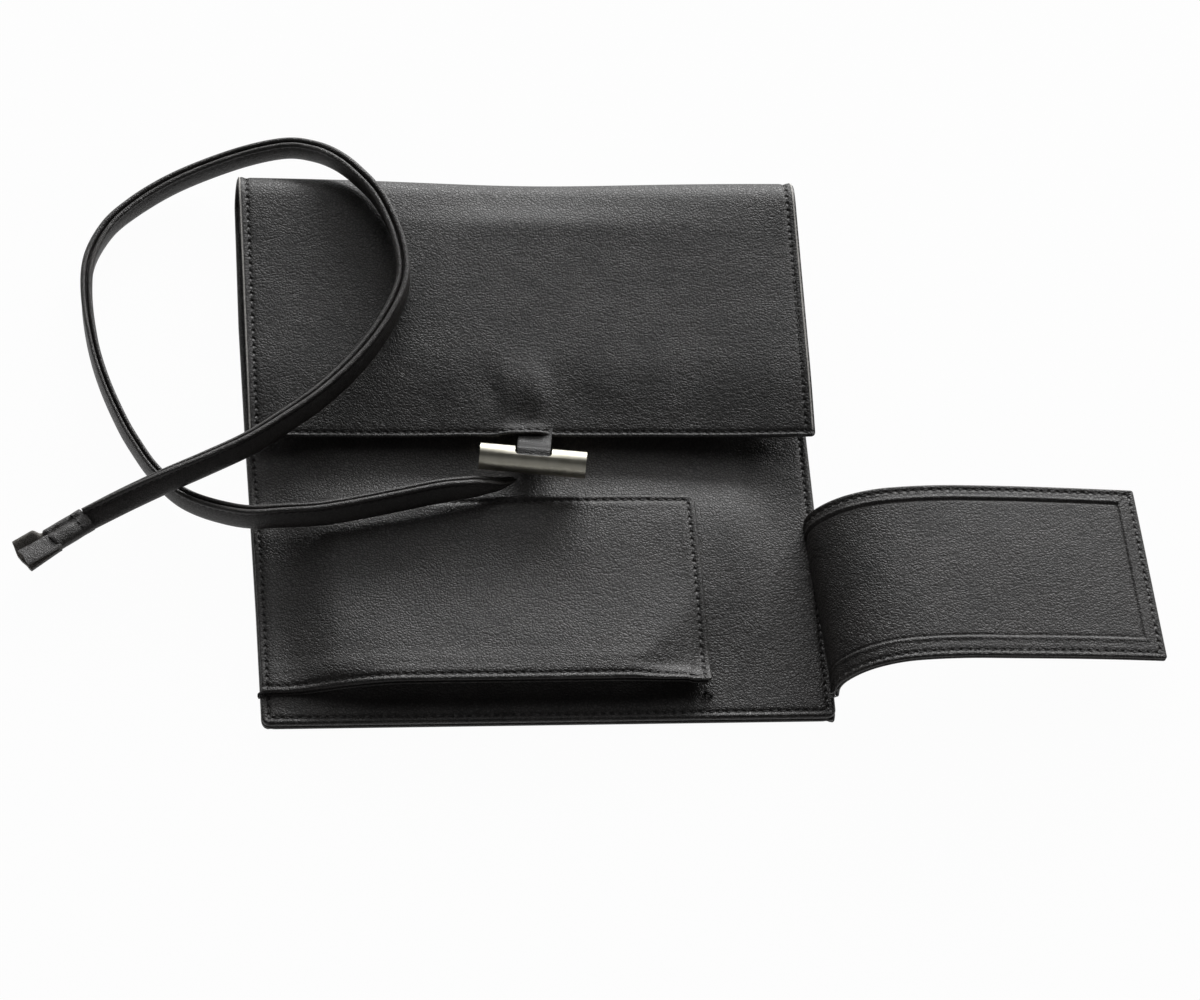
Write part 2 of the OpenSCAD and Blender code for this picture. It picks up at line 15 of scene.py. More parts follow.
import bpy
import numpy as np
from bpy.types import Material, Mesh, Node, NodeSocket, Object
from mathutils import Matrix, Vector
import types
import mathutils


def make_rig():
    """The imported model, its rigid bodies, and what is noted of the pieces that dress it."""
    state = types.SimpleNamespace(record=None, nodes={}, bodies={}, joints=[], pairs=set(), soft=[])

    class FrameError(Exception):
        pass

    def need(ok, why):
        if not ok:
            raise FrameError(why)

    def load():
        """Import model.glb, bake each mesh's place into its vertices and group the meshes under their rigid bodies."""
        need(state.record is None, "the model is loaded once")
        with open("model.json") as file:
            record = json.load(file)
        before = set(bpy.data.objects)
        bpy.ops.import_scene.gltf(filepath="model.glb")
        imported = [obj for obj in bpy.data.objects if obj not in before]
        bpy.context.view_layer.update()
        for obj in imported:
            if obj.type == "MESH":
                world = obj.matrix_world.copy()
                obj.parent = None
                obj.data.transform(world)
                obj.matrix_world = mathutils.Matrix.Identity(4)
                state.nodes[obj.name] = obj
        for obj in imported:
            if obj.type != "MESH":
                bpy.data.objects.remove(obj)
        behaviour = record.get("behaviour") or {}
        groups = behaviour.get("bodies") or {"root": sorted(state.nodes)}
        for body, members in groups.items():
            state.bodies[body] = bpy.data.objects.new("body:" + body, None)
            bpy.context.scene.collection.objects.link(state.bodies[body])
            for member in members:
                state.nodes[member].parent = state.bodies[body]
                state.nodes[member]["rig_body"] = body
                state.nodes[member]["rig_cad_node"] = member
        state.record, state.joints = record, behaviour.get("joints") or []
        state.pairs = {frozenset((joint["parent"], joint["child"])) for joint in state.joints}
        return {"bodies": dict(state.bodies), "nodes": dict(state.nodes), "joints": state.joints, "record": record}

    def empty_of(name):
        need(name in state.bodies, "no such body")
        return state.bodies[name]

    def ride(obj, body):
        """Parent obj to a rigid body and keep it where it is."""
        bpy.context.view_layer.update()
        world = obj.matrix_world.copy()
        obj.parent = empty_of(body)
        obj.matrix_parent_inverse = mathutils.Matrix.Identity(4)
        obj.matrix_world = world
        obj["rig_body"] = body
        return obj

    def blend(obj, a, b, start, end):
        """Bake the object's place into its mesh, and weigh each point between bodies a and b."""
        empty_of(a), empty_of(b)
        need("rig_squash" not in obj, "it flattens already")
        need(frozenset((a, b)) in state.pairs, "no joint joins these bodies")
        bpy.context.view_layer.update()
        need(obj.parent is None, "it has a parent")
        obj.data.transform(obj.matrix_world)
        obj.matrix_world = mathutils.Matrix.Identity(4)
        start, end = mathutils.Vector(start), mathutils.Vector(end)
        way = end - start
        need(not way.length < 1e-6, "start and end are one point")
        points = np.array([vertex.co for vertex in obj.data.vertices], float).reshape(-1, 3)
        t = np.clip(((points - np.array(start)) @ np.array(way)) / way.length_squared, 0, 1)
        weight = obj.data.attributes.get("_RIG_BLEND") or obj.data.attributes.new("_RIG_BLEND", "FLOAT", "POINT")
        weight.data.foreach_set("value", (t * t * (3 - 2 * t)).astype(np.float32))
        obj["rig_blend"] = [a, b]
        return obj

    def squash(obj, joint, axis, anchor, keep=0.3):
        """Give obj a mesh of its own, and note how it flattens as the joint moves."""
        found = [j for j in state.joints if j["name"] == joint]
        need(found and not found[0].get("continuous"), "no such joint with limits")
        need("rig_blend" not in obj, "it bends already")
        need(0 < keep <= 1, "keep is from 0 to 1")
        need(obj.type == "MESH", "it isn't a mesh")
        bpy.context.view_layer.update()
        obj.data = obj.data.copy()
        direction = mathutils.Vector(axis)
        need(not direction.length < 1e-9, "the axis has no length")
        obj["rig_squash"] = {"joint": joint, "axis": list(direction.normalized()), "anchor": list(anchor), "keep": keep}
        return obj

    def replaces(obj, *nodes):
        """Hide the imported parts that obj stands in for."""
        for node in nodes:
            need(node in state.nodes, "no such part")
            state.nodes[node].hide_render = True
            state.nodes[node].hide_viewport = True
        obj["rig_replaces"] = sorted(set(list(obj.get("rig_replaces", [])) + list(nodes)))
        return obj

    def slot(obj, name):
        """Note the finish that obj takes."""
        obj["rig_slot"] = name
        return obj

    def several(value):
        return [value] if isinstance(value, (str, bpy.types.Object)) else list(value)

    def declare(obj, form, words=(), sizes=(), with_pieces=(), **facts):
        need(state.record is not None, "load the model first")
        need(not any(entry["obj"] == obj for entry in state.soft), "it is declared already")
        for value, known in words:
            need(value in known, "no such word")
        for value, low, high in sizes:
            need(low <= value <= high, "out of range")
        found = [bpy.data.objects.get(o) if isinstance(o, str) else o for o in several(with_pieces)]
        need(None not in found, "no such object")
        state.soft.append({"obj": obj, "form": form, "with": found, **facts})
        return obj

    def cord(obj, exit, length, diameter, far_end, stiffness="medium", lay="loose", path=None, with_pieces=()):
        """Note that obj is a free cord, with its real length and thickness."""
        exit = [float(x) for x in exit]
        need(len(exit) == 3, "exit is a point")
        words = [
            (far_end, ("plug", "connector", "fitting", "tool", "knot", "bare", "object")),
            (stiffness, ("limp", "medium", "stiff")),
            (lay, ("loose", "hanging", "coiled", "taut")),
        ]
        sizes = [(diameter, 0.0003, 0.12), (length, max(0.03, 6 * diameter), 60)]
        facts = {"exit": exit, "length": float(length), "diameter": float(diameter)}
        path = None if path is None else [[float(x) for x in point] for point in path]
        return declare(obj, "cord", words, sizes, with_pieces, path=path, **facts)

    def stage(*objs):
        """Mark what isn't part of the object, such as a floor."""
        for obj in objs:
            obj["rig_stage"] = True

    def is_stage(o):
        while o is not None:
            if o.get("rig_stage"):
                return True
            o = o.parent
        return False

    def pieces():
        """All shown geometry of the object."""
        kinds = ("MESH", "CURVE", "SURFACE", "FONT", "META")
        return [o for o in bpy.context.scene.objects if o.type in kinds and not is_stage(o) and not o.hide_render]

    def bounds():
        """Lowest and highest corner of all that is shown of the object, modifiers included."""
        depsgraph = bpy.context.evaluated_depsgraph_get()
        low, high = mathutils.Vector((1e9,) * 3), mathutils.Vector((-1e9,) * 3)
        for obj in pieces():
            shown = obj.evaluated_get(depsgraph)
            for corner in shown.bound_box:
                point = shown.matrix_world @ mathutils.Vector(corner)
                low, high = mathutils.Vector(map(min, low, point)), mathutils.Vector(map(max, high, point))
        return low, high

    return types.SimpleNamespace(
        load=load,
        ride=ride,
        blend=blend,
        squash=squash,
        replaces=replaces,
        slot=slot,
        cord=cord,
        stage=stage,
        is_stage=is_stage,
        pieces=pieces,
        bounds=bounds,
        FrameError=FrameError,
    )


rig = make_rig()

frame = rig.load()
CAD_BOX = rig.bounds()

LOG = logging.getLogger("pouch")
MM = 0.001
SIZE_FILE = "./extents.json"
# Rows of points at a finished edge, and on both sides of a raised border's step
EDGE_MARKS = np.array([0, 0.05, 0.18, 0.4, 0.75, 1.2, 1.7, 2.2, 2.6, 3.0, 3.4, 3.9, 4.5, 5.2, 6.0])
STEP_MARKS = np.array([-1.2, -0.6, -0.2, 0.1, 0.4, 0.8, 1.4])

Array = np.ndarray
Point = tuple[float, float, float]
Height = Callable[[Array, Array], Array]


# ---- Plain maths ----


def smooth(t: Array | float) -> Array:
    """A soft step that is 0 below 0 and 1 above 1."""
    c = np.clip(t, 0.0, 1.0)
    return c * c * (3 - 2 * c)


def mix(a: Array | float, b: Array | float, t: Array | float) -> Array | float:
    """The value a share t of the way from a to b."""
    return a + (b - a) * t


def hump(distance: Array | float, width: float) -> Array:
    """A smooth hump of height 1 and of that half width."""
    return np.exp(-((distance / width) ** 2))


def unit(vectors: Array) -> Array:
    """The same vectors, each of length 1."""
    return vectors / np.linalg.norm(vectors, axis=1)[:, None]


def lengths_along(line: Array) -> Array:
    """Length along a line of points at each of its points."""
    return np.concatenate([[0], np.cumsum(np.linalg.norm(np.diff(line, axis=0), axis=1))])


def corner_shift(a: Array, b: Array, radius: float) -> tuple[Array, Array]:
    """How far to move points so that a square corner of a sheet becomes a round one.

    Args:
        a: Distances to one edge of the corner.
        b: Distances to its other edge.
        radius: Radius of the round corner.

    Returns:
        Growth of the two distances.
    """
    p, q = np.clip(1 - a / radius, 0, 1), np.clip(1 - b / radius, 0, 1)
    return radius * p * (1 - np.sqrt(1 - q * q / 2)), radius * q * (1 - np.sqrt(1 - p * p / 2))


def ripple(x: Array, y: Array, size: float, seed: int) -> Array:
    """Smooth random relief of about -1 to 1.

    Args:
        x: Places across the sheet.
        y: Places along the sheet.
        size: Usual length of one wave.
        seed: Picks the waves.

    Returns:
        The relief at each place.
    """
    rng = np.random.default_rng(seed)
    total = np.zeros(np.broadcast(x, y).shape)
    for _ in range(8):
        turn, phase = rng.uniform(0, 2 * np.pi, 2)
        length = size * rng.uniform(0.7, 1.5)
        total += np.sin((x * np.cos(turn) + y * np.sin(turn)) * 2 * np.pi / length + phase)
    return total / 4


def stations(lo: float, hi: float, step: float, fine_lo: bool = True,
             fine_hi: bool = True) -> Array:
    """Places along one side of a sheet, closer together at its finished edges.

    Args:
        lo: First place.
        hi: Last place.
        step: Distance between places in the middle.
        fine_lo: Whether the first end is a finished edge.
        fine_hi: Whether the last end is a finished edge.

    Returns:
        The places, in order.
    """
    first = lo + EDGE_MARKS if fine_lo else np.array([lo])
    last = hi - EDGE_MARKS[::-1] if fine_hi else np.array([hi])
    count = max(1, math.ceil((last[0] - first[-1]) / step))
    middle = np.linspace(first[-1], last[0], count + 1)[1:-1]
    return np.concatenate([first, middle, last])


def thinned(places: Array, least: float = 0.04) -> Array:
    """Sorted places with none closer together than least, and both ends kept."""
    kept = [float(np.min(places))]
    last = float(np.max(places))
    for p in np.sort(places):
        if p - kept[-1] >= least and last - p >= least:
            kept.append(float(p))
    return np.array([*kept, last])


@dataclass(frozen=True)
class BentPath:
    """A path in a plane whose direction is tabled against its length."""

    table: tuple[tuple[float, float], ...]

    @cached_property
    def _trace(self) -> tuple[Array, Array, Array, Array]:
        s = np.arange(self.table[0][0], self.table[-1][0] + 0.05, 0.05)
        turn = np.radians(np.interp(s, *zip(*self.table)))
        middle = (turn[1:] + turn[:-1]) / 2
        step = np.diff(s)
        x = np.concatenate([[0], np.cumsum(np.cos(middle) * step)])
        y = np.concatenate([[0], np.cumsum(np.sin(middle) * step)])
        return s, turn, x, y

    def beside(self, s: Array, offset: Array) -> tuple[Array, Array]:
        """Points at length s along the path and at an offset to its left.

        Args:
            s: Lengths along the path.
            offset: Distances to the left of the path.

        Returns:
            The two coordinates of each point.
        """
        length, turn, x, y = self._trace
        a = np.interp(s, length, turn)
        return (
            np.interp(s, length, x) - offset * np.sin(a),
            np.interp(s, length, y) + offset * np.cos(a),
        )


def along_curve(points: Sequence[Point], step: float) -> Array:
    """A smooth curve through points, in even steps.

    Args:
        points: Points that the curve runs through.
        step: Distance between the points that come back.

    Returns:
        The curve's points, one row each.
    """
    p = np.array(points, float)
    p = np.concatenate([[2 * p[0] - p[1]], p, [2 * p[-1] - p[-2]]])
    dense = []
    t = np.linspace(0, 1, 24, endpoint=False)[:, None]
    for a, b, c, d in zip(p, p[1:], p[2:], p[3:]):
        dense.append(
            0.5 * (2 * b + (c - a) * t + (2 * a - 5 * b + 4 * c - d) * t**2
                   + (3 * b - a - 3 * c + d) * t**3)
        )
    line = np.concatenate([*dense, [p[-2]]])
    length = lengths_along(line)
    even = np.linspace(0, length[-1], max(2, round(length[-1] / step)) + 1)
    return np.stack([np.interp(even, length, line[:, k]) for k in range(3)], 1)


# ---- Meshes ----


def linked(name: str, data: bpy.types.ID | None) -> Object:
    """Adds an object of that name and data to the scene."""
    obj = bpy.data.objects.new(name, data)
    bpy.context.scene.collection.objects.link(obj)
    return obj


def applied(obj: Object) -> Mesh:
    """The plain mesh that an object's modifiers make of it."""
    graph = bpy.context.evaluated_depsgraph_get()
    return bpy.data.meshes.new_from_object(obj.evaluated_get(graph), depsgraph=graph)


def make_object(name: str, points: Array, faces: Array | list, uv: Array | None = None,
                sharp: float = 50.0) -> Object:
    """Makes a mesh object from points in millimetres, with its faces pointing outwards.

    Args:
        name: Name of the piece.
        points: The vertices.
        faces: The faces, as rows of vertex numbers.
        uv: A place on the sheet for each vertex, in millimetres.
        sharp: Angle in degrees past which an edge is shaded sharp.

    Returns:
        The new object, at the origin.
    """
    rows = [list(map(int, f)) for f in faces]
    volume = 0.0
    for size in {len(f) for f in rows}:
        corners = points[np.array([f for f in rows if len(f) == size])]
        for k in range(1, size - 1):
            turned = np.cross(corners[:, k], corners[:, k + 1])
            volume += np.einsum("ij,ij->", corners[:, 0], turned)
    if volume < 0:
        rows = [f[::-1] for f in rows]
    mesh = bpy.data.meshes.new(name)
    mesh.from_pydata((points * MM).tolist(), [], rows)
    mesh.polygons.foreach_set("use_smooth", np.ones(len(rows), bool))
    mesh.set_sharp_from_angle(angle=math.radians(sharp))
    if uv is not None:
        layer = mesh.uv_layers.new(name="place")
        corner = np.zeros(len(mesh.loops), np.int32)
        mesh.loops.foreach_get("vertex_index", corner)
        layer.data.foreach_set("uv", (uv[corner] * MM).astype(np.float32).ravel())
    mesh.update()
    return linked(name, mesh)


def make_sheet(name: str, top: Array, under: Array, uv: Array) -> Object:
    """Makes a closed sheet from the grids of its two faces.

    Args:
        name: Name of the piece.
        top: Grid of points of one face, rows by columns by 3.
        under: The same for the other face.
        uv: Grid of places on the sheet, rows by columns by 2.

    Returns:
        The sheet's object.
    """
    rows, cols = top.shape[:2]
    count = rows * cols
    index = np.arange(count).reshape(rows, cols)
    upper = np.stack([index[:-1, :-1], index[:-1, 1:], index[1:, 1:], index[1:, :-1]], -1)
    upper = upper.reshape(-1, 4)
    rim = np.concatenate([index[0, :-1], index[:-1, -1], index[-1, :0:-1], index[:0:-1, 0]])
    after = np.roll(rim, -1)
    walls = np.stack([rim, rim + count, after + count, after], -1)
    faces = np.concatenate([upper, upper[:, ::-1] + count, walls])
    points = np.concatenate([top.reshape(-1, 3), under.reshape(-1, 3)])
    places = np.tile(uv.reshape(-1, 2), (2, 1))
    return make_object(name, points, faces, places)


def tube_faces(rings: Array, first: int = 0) -> tuple[list, Array]:
    """Faces and points of a closed tube through rings of points.

    Args:
        rings: Rings by points by 3.
        first: Number of the first point.

    Returns:
        The faces, as lists of point numbers, and the points.
    """
    count, size = rings.shape[:2]
    index = np.arange(count * size).reshape(count, size) + first
    turned = np.roll(index, -1, axis=1)
    skin = np.stack([index[:-1], turned[:-1], turned[1:], index[1:]], -1).reshape(-1, 4)
    poles = first + count * size + np.array([0, 1])
    faces: list = [list(f) for f in skin]
    faces += [[poles[0], b, a] for a, b in zip(index[0], turned[0])]
    faces += [[poles[1], a, b] for a, b in zip(index[-1], turned[-1])]
    return faces, np.concatenate([rings.reshape(-1, 3), [rings[0].mean(0), rings[-1].mean(0)]])


def round_rings(line: Array, radius: float, count: int) -> Array:
    """Round rings along a line, each with that many points."""
    ahead = unit(np.gradient(line, axis=0))
    side = unit(np.cross(ahead, [0.3, 0.2, 0.93]))
    turn = np.linspace(0, 2 * np.pi, count, endpoint=False)[None, :, None]
    return line[:, None] + radius * (np.cos(turn) * side[:, None]
                                     + np.sin(turn) * np.cross(side, ahead)[:, None])


def make_tube(name: str, rings: Array, uv: Array | None = None, sharp: float = 60.0) -> Object:
    """Makes a closed tube through rings of points, with each end closed by a fan.

    Args:
        name: Name of the piece.
        rings: Rings by points by 3.
        uv: The same rings' places, rings by points by 2.
        sharp: Angle in degrees past which an edge is shaded sharp.

    Returns:
        The tube's object.
    """
    faces, points = tube_faces(rings)
    places = None
    if uv is not None:
        places = np.concatenate([uv.reshape(-1, 2), [uv[0].mean(0), uv[-1].mean(0)]])
    return make_object(name, points, faces, places, sharp)


# ---- Shader trees ----


class Shader:
    """The node tree of a material or a world, in which one method makes every node."""

    def __init__(self, name: str, world: bool = False) -> None:
        """Starts an empty material, or an empty world, of that name."""
        self.block = (bpy.data.worlds if world else bpy.data.materials).new(name)
        self.block.use_nodes = True
        self.tree = self.block.node_tree
        self.tree.nodes.clear()
        self.output = self.add("OutputWorld" if world else "OutputMaterial")

    def add(self, kind: str, settings: dict[str, Any] | None = None,
            inputs: dict[str | int, Any] | None = None) -> Node:
        """Adds a node.

        Args:
            kind: The node's type, without its ShaderNode prefix.
            settings: Its own settings.
            inputs: Values or links of its sockets, by name or number.

        Returns:
            The node.
        """
        node = self.tree.nodes.new("ShaderNode" + kind)
        for key, value in (settings or {}).items():
            setattr(node, key, value)
        for key, value in (inputs or {}).items():
            socket = node.inputs[key]
            if isinstance(value, Signal):
                value = value.socket
            if isinstance(value, NodeSocket):
                self.tree.links.new(value, socket)
            else:
                socket.default_value = value
        return node

    def signal(self, kind: str, settings: dict[str, Any] | None = None,
               inputs: dict[str | int, Any] | None = None, output: str | int = 0) -> "Signal":
        """Adds a node and returns one of its number outputs, ready for maths."""
        return Signal(self, self.add(kind, settings, inputs).outputs[output])

    def spot(self) -> NodeSocket:
        """The place in the object's own space, in millimetres."""
        here = self.add("TexCoord").outputs["Object"]
        return self.scaled(here, 1 / MM)

    def place(self) -> tuple["Signal", "Signal"]:
        """The place on the sheet, across and along, in millimetres."""
        here = self.add("UVMap", {"uv_map": "place"}).outputs["UV"]
        parts = self.add("SeparateXYZ", inputs={"Vector": self.scaled(here, 1 / MM)})
        return Signal(self, parts.outputs["X"]), Signal(self, parts.outputs["Y"])

    def scaled(self, vector: NodeSocket, by: float | Point) -> NodeSocket:
        """A vector times a number or times three numbers."""
        by = (by, by, by) if isinstance(by, (int, float)) else by
        return self.add("VectorMath", {"operation": "MULTIPLY"}, {0: vector, 1: by}).outputs[0]

    def shifted(self, vector: NodeSocket, noise: NodeSocket,
                by: float) -> NodeSocket:
        """A vector pushed about by a noise's colour, by up to half of by each way."""
        centred = self.add("VectorMath", {"operation": "SUBTRACT"}, {0: noise, 1: (0.5, 0.5, 0.5)})
        return self.add("VectorMath", {"operation": "MULTIPLY_ADD"},
                        {0: centred.outputs[0], 1: (by, by, by), 2: vector}).outputs[0]

    def noise(self, vector: NodeSocket, size: float, detail: float = 2.0) -> Node:
        """Noise whose blobs are about that many millimetres across."""
        return self.add("TexNoise", inputs={"Vector": vector, "Scale": 1 / size, "Detail": detail})

    def colours(self, share: "Signal", low: Point, high: Point) -> NodeSocket:
        """The colour that is that share of the way from low to high."""
        node = self.add("Mix", {"data_type": "RGBA"},
                        {"Factor": share, 6: (*low, 1.0), 7: (*high, 1.0)})
        return node.outputs[2]

    def relief(self, height: "Signal") -> NodeSocket:
        """The normal of a surface with that relief, in millimetres."""
        inputs = {"Strength": 1.0, "Distance": MM, "Height": height}
        return self.add("Bump", inputs=inputs).outputs["Normal"]

    def surface(self, inputs: dict[str | int, Any]) -> Material:
        """Ends the tree in a Principled shader with those sockets."""
        shader = self.add("BsdfPrincipled", inputs=inputs)
        self.tree.links.new(shader.outputs[0], self.output.inputs["Surface"])
        return self.block


class Signal:
    """A shader number that takes Python's operators, each of which adds a Math node."""

    def __init__(self, shader: Shader, socket: NodeSocket) -> None:
        """Wraps a number socket of that shader's tree."""
        self.shader, self.socket = shader, socket

    def _math(self, operation: str, *values: "Signal | float") -> "Signal":
        inputs = dict(enumerate(values))
        return self.shader.signal("Math", {"operation": operation}, inputs)

    def __add__(self, other: "Signal | float") -> "Signal":
        """Sum."""
        return self._math("ADD", self, other)

    __radd__ = __add__

    def __mul__(self, other: "Signal | float") -> "Signal":
        """Product."""
        return self._math("MULTIPLY", self, other)

    __rmul__ = __mul__

    def __sub__(self, other: "Signal | float") -> "Signal":
        """Difference."""
        return self._math("SUBTRACT", self, other)

    def __rsub__(self, other: float) -> "Signal":
        """Difference from a plain number."""
        return self._math("SUBTRACT", other, self)

    def __truediv__(self, other: "Signal | float") -> "Signal":
        """Quotient."""
        return self._math("DIVIDE", self, other)

    def __abs__(self) -> "Signal":
        """Size without its sign."""
        return self._math("ABSOLUTE", self)

    def fraction(self) -> "Signal":
        """What is left after the whole number."""
        return self._math("FRACT", self)

    def sine(self) -> "Signal":
        """Sine of the number in radians."""
        return self._math("SINE", self)

    def most(self, other: "Signal | float") -> "Signal":
        """The greater of the two."""
        return self._math("MAXIMUM", self, other)

    def step(self, lo: float, hi: float) -> "Signal":
        """A soft step from 0 at lo to 1 at hi."""
        return self.shader.signal("MapRange", {"interpolation_type": "SMOOTHSTEP"},
                                  {"Value": self, "From Min": lo, "From Max": hi})


# ---- Finishes ----


class Axis(Enum):
    """Which way a straight seam runs on a sheet."""

    ACROSS = "across"
    ALONG = "along"


@dataclass(frozen=True)
class Seam:
    """A straight row of stitches on a sheet: its line, and its first and last stitch."""

    runs: Axis
    at: float
    first: float
    last: float
    pitch: float = 2.8

    def ends(self) -> tuple[tuple[float, float], tuple[float, float]]:
        """The seam's two ends on the sheet."""
        if self.runs is Axis.ACROSS:
            return (self.first, self.at), (self.last, self.at)
        return (self.at, self.first), (self.at, self.last)

    def even_pitch(self) -> float:
        """The pitch that divides the seam evenly."""
        length = abs(self.last - self.first)
        return length / max(1, round(length / self.pitch))

    def dimples(self, across: Signal, along: Signal) -> Signal:
        """Needle holes between the stitches, from 0 to 1."""
        run, off = (across, along) if self.runs is Axis.ACROSS else (along, across)
        lo, hi = sorted((self.first, self.last))
        pitch = self.even_pitch()
        beside = 1 - abs(off - self.at).step(0.0, 0.75)
        phase = abs(((run - lo) / pitch).fraction() - 0.5)
        inside = (run - (lo - 1.2)).step(0.0, 0.5) * ((hi + 1.2) - run).step(0.0, 0.5)
        return (1 - phase.step(0.0, 0.3)) * beside * inside


@dataclass(frozen=True)
class Leather:
    """Soft grained leather, with needle holes along the seams it is given."""

    name: str
    # These tones are lighter than the flap's copy of the same leather, so that the pieces wearing them read brighter:
    # painted light.
    colour: Point = (0.011, 0.0098, 0.0093)
    light: Point = (0.038, 0.0340, 0.0320)
    pebble: float = 1.05
    crease: float = 0.08
    wrinkle: float = 0.22
    roughness: float = 0.42
    stretch: Point = (1.0, 1.0, 1.0)

    def build(self, seams: Sequence[Seam] = ()) -> Material:
        """Makes the material.

        Args:
            seams: Seams of the sheet that wears it.

        Returns:
            The material.
        """
        sh = Shader(self.name)
        spot = sh.scaled(sh.spot(), self.stretch)
        broad = sh.noise(spot, 14.0, 3.0)
        warped = sh.shifted(spot, sh.noise(spot, 1.9, 2.0).outputs["Color"], 0.9)
        warped = sh.shifted(warped, broad.outputs["Color"], 3.0)
        cell = sh.signal("TexVoronoi", {"feature": "DISTANCE_TO_EDGE"},
                         {"Vector": warped, "Scale": 1 / self.pebble}, "Distance")
        fold = sh.signal("TexVoronoi", {"feature": "DISTANCE_TO_EDGE"},
                         {"Vector": warped, "Scale": 1 / (self.pebble * 3.1)}, "Distance")
        pore = Signal(sh, sh.noise(spot, 0.34, 3.0).outputs[0])
        soft = Signal(sh, sh.noise(spot, 2.6, 2.0).outputs[0])
        patch = Signal(sh, broad.outputs[0])
        pebbles = cell.step(0.0, 0.24)
        folds = fold.step(0.0, 0.10)
        height = (pebbles * self.crease * (0.45 + patch * 1.1) + folds * self.crease * 0.45
                  + pore * 0.012 + soft * self.wrinkle * 0.5)
        holes: Signal | None = None
        if seams:
            across, along = sh.place()
            for seam in seams:
                one = seam.dimples(across, along)
                holes = one if holes is None else holes.most(one)
            height = height - holes * 0.42
        shade = pebbles * 0.55 + patch.step(0.3, 0.7) * 0.45
        rough = self.roughness + (1 - pebbles) * 0.14 + (pore - 0.5) * 0.04
        return sh.surface({
            "Base Color": sh.colours(shade, self.colour, self.light),
            "Roughness": rough,
            "Normal": sh.relief(height),
        })


@dataclass(frozen=True)
class Cloth:
    """Plain woven lining."""

    name: str
    dark: Point = (0.16, 0.16, 0.155)
    light: Point = (0.36, 0.355, 0.345)
    yarn: float = 0.32

    def build(self) -> Material:
        """Makes the material, woven along the sheet's own place map."""
        sh = Shader(self.name)
        across, along = sh.place()
        turn = math.pi / self.yarn
        weave = (across * turn).sine() * (along * turn).sine()
        fuzz = Signal(sh, sh.noise(sh.spot(), 0.5, 4.0).outputs[0])
        patch = Signal(sh, sh.noise(sh.spot(), 18.0, 2.0).outputs[0])
        height = abs(weave) * 0.06 + fuzz * 0.05
        share = abs(weave) * 0.5 + fuzz * 0.3 + patch * 0.2
        return sh.surface({
            "Base Color": sh.colours(share, self.dark, self.light),
            "Roughness": 0.82 + fuzz * 0.1,
            "Normal": sh.relief(height),
            "Sheen Weight": 0.25,
        })


@dataclass(frozen=True)
class Fibres:
    """Sewing thread, or the fibrous flesh side of cut leather."""

    name: str
    dark: Point
    light: Point
    size: float = 0.25
    detail: float = 4.0
    stretch: Point = (1.0, 1.0, 1.0)
    spread: tuple[float, float] = (0.3, 0.75)
    roughness: float = 0.9
    uneven: float = 0.05

    def build(self) -> Material:
        """Makes the material."""
        sh = Shader(self.name)
        spot = sh.scaled(sh.spot(), self.stretch)
        nap = Signal(sh, sh.noise(spot, self.size, self.detail).outputs[0])
        return sh.surface({
            "Base Color": sh.colours(nap.step(*self.spread), self.dark, self.light),
            "Roughness": self.roughness + nap * self.uneven,
            "Normal": sh.relief(nap * 0.12),
        })


@dataclass(frozen=True)
class Metal:
    """Bright plated metal, drawn lengthwise and a little handled."""

    name: str
    colour: Point = (0.74, 0.71, 0.60)
    light: Point = (0.84, 0.81, 0.70)
    roughness: float = 0.29

    def build(self) -> Material:
        """Makes the material."""
        sh = Shader(self.name)
        spot = sh.spot()
        turned = sh.add("VectorRotate", {"rotation_type": "Z_AXIS"},
                        {"Vector": spot, "Angle": math.radians(7)}).outputs[0]
        drawn = Signal(sh, sh.noise(sh.scaled(turned, (0.03, 1.0, 1.0)), 0.22, 3.0).outputs[0])
        smear = Signal(sh, sh.noise(spot, 3.2, 3.0).outputs[0])
        return sh.surface({
            "Base Color": sh.colours(smear.step(0.3, 0.7), self.colour, self.light),
            "Metallic": 1.0,
            "Roughness": self.roughness + smear * 0.10 + drawn * 0.06,
            "Normal": sh.relief(drawn * 0.008 + smear * 0.01),
        })


# ---- Stitches ----


class GeometryTree:
    """A Geometry Nodes tree with named inputs and one output."""

    def __init__(self, name: str, inputs: dict[str, str], output: str) -> None:
        """Starts the tree.

        Args:
            name: Name of the tree.
            inputs: For each named input, its socket type without the NodeSocket prefix.
            output: Name of the geometry that comes out.
        """
        self.tree = bpy.data.node_groups.new(name, "GeometryNodeTree")
        self.ids = {key: self._socket(key, kind, "INPUT") for key, kind in inputs.items()}
        self._socket(output, "Geometry", "OUTPUT")
        self.given = self._add("NodeGroupInput").outputs

    def _socket(self, name: str, kind: str, way: str) -> str:
        socket = self.tree.interface.new_socket(name, in_out=way, socket_type="NodeSocket" + kind)
        return socket.identifier

    def _add(self, kind: str, settings: dict[str, Any] | None = None,
             inputs: dict[str | int, Any] | None = None) -> Node:
        node = self.tree.nodes.new(kind)
        for key, value in (settings or {}).items():
            setattr(node, key, value)
        for key, value in (inputs or {}).items():
            for one in value if isinstance(value, list) else [value]:
                if isinstance(one, NodeSocket):
                    self.tree.links.new(one, node.inputs[key])
                else:
                    node.inputs[key].default_value = one
        return node

    def _end(self, geometry: NodeSocket, material: str, output: str) -> None:
        real = self._add("GeometryNodeRealizeInstances", inputs={"Geometry": geometry}).outputs[0]
        worn = self._add("GeometryNodeSetMaterial", inputs={
            "Geometry": real, "Material": self.given[material]}).outputs[0]
        self._add("NodeGroupOutput", inputs={output: worn})

    def run(self, obj: Object, values: dict[str, Any]) -> Mesh:
        """Runs the tree on an object with those inputs, and returns the plain mesh."""
        modifier = obj.modifiers.new("shape", "NODES")
        modifier.node_group = self.tree
        for key, value in values.items():
            modifier[self.ids[key]] = value
        mesh = applied(obj)
        obj.modifiers.clear()
        return mesh


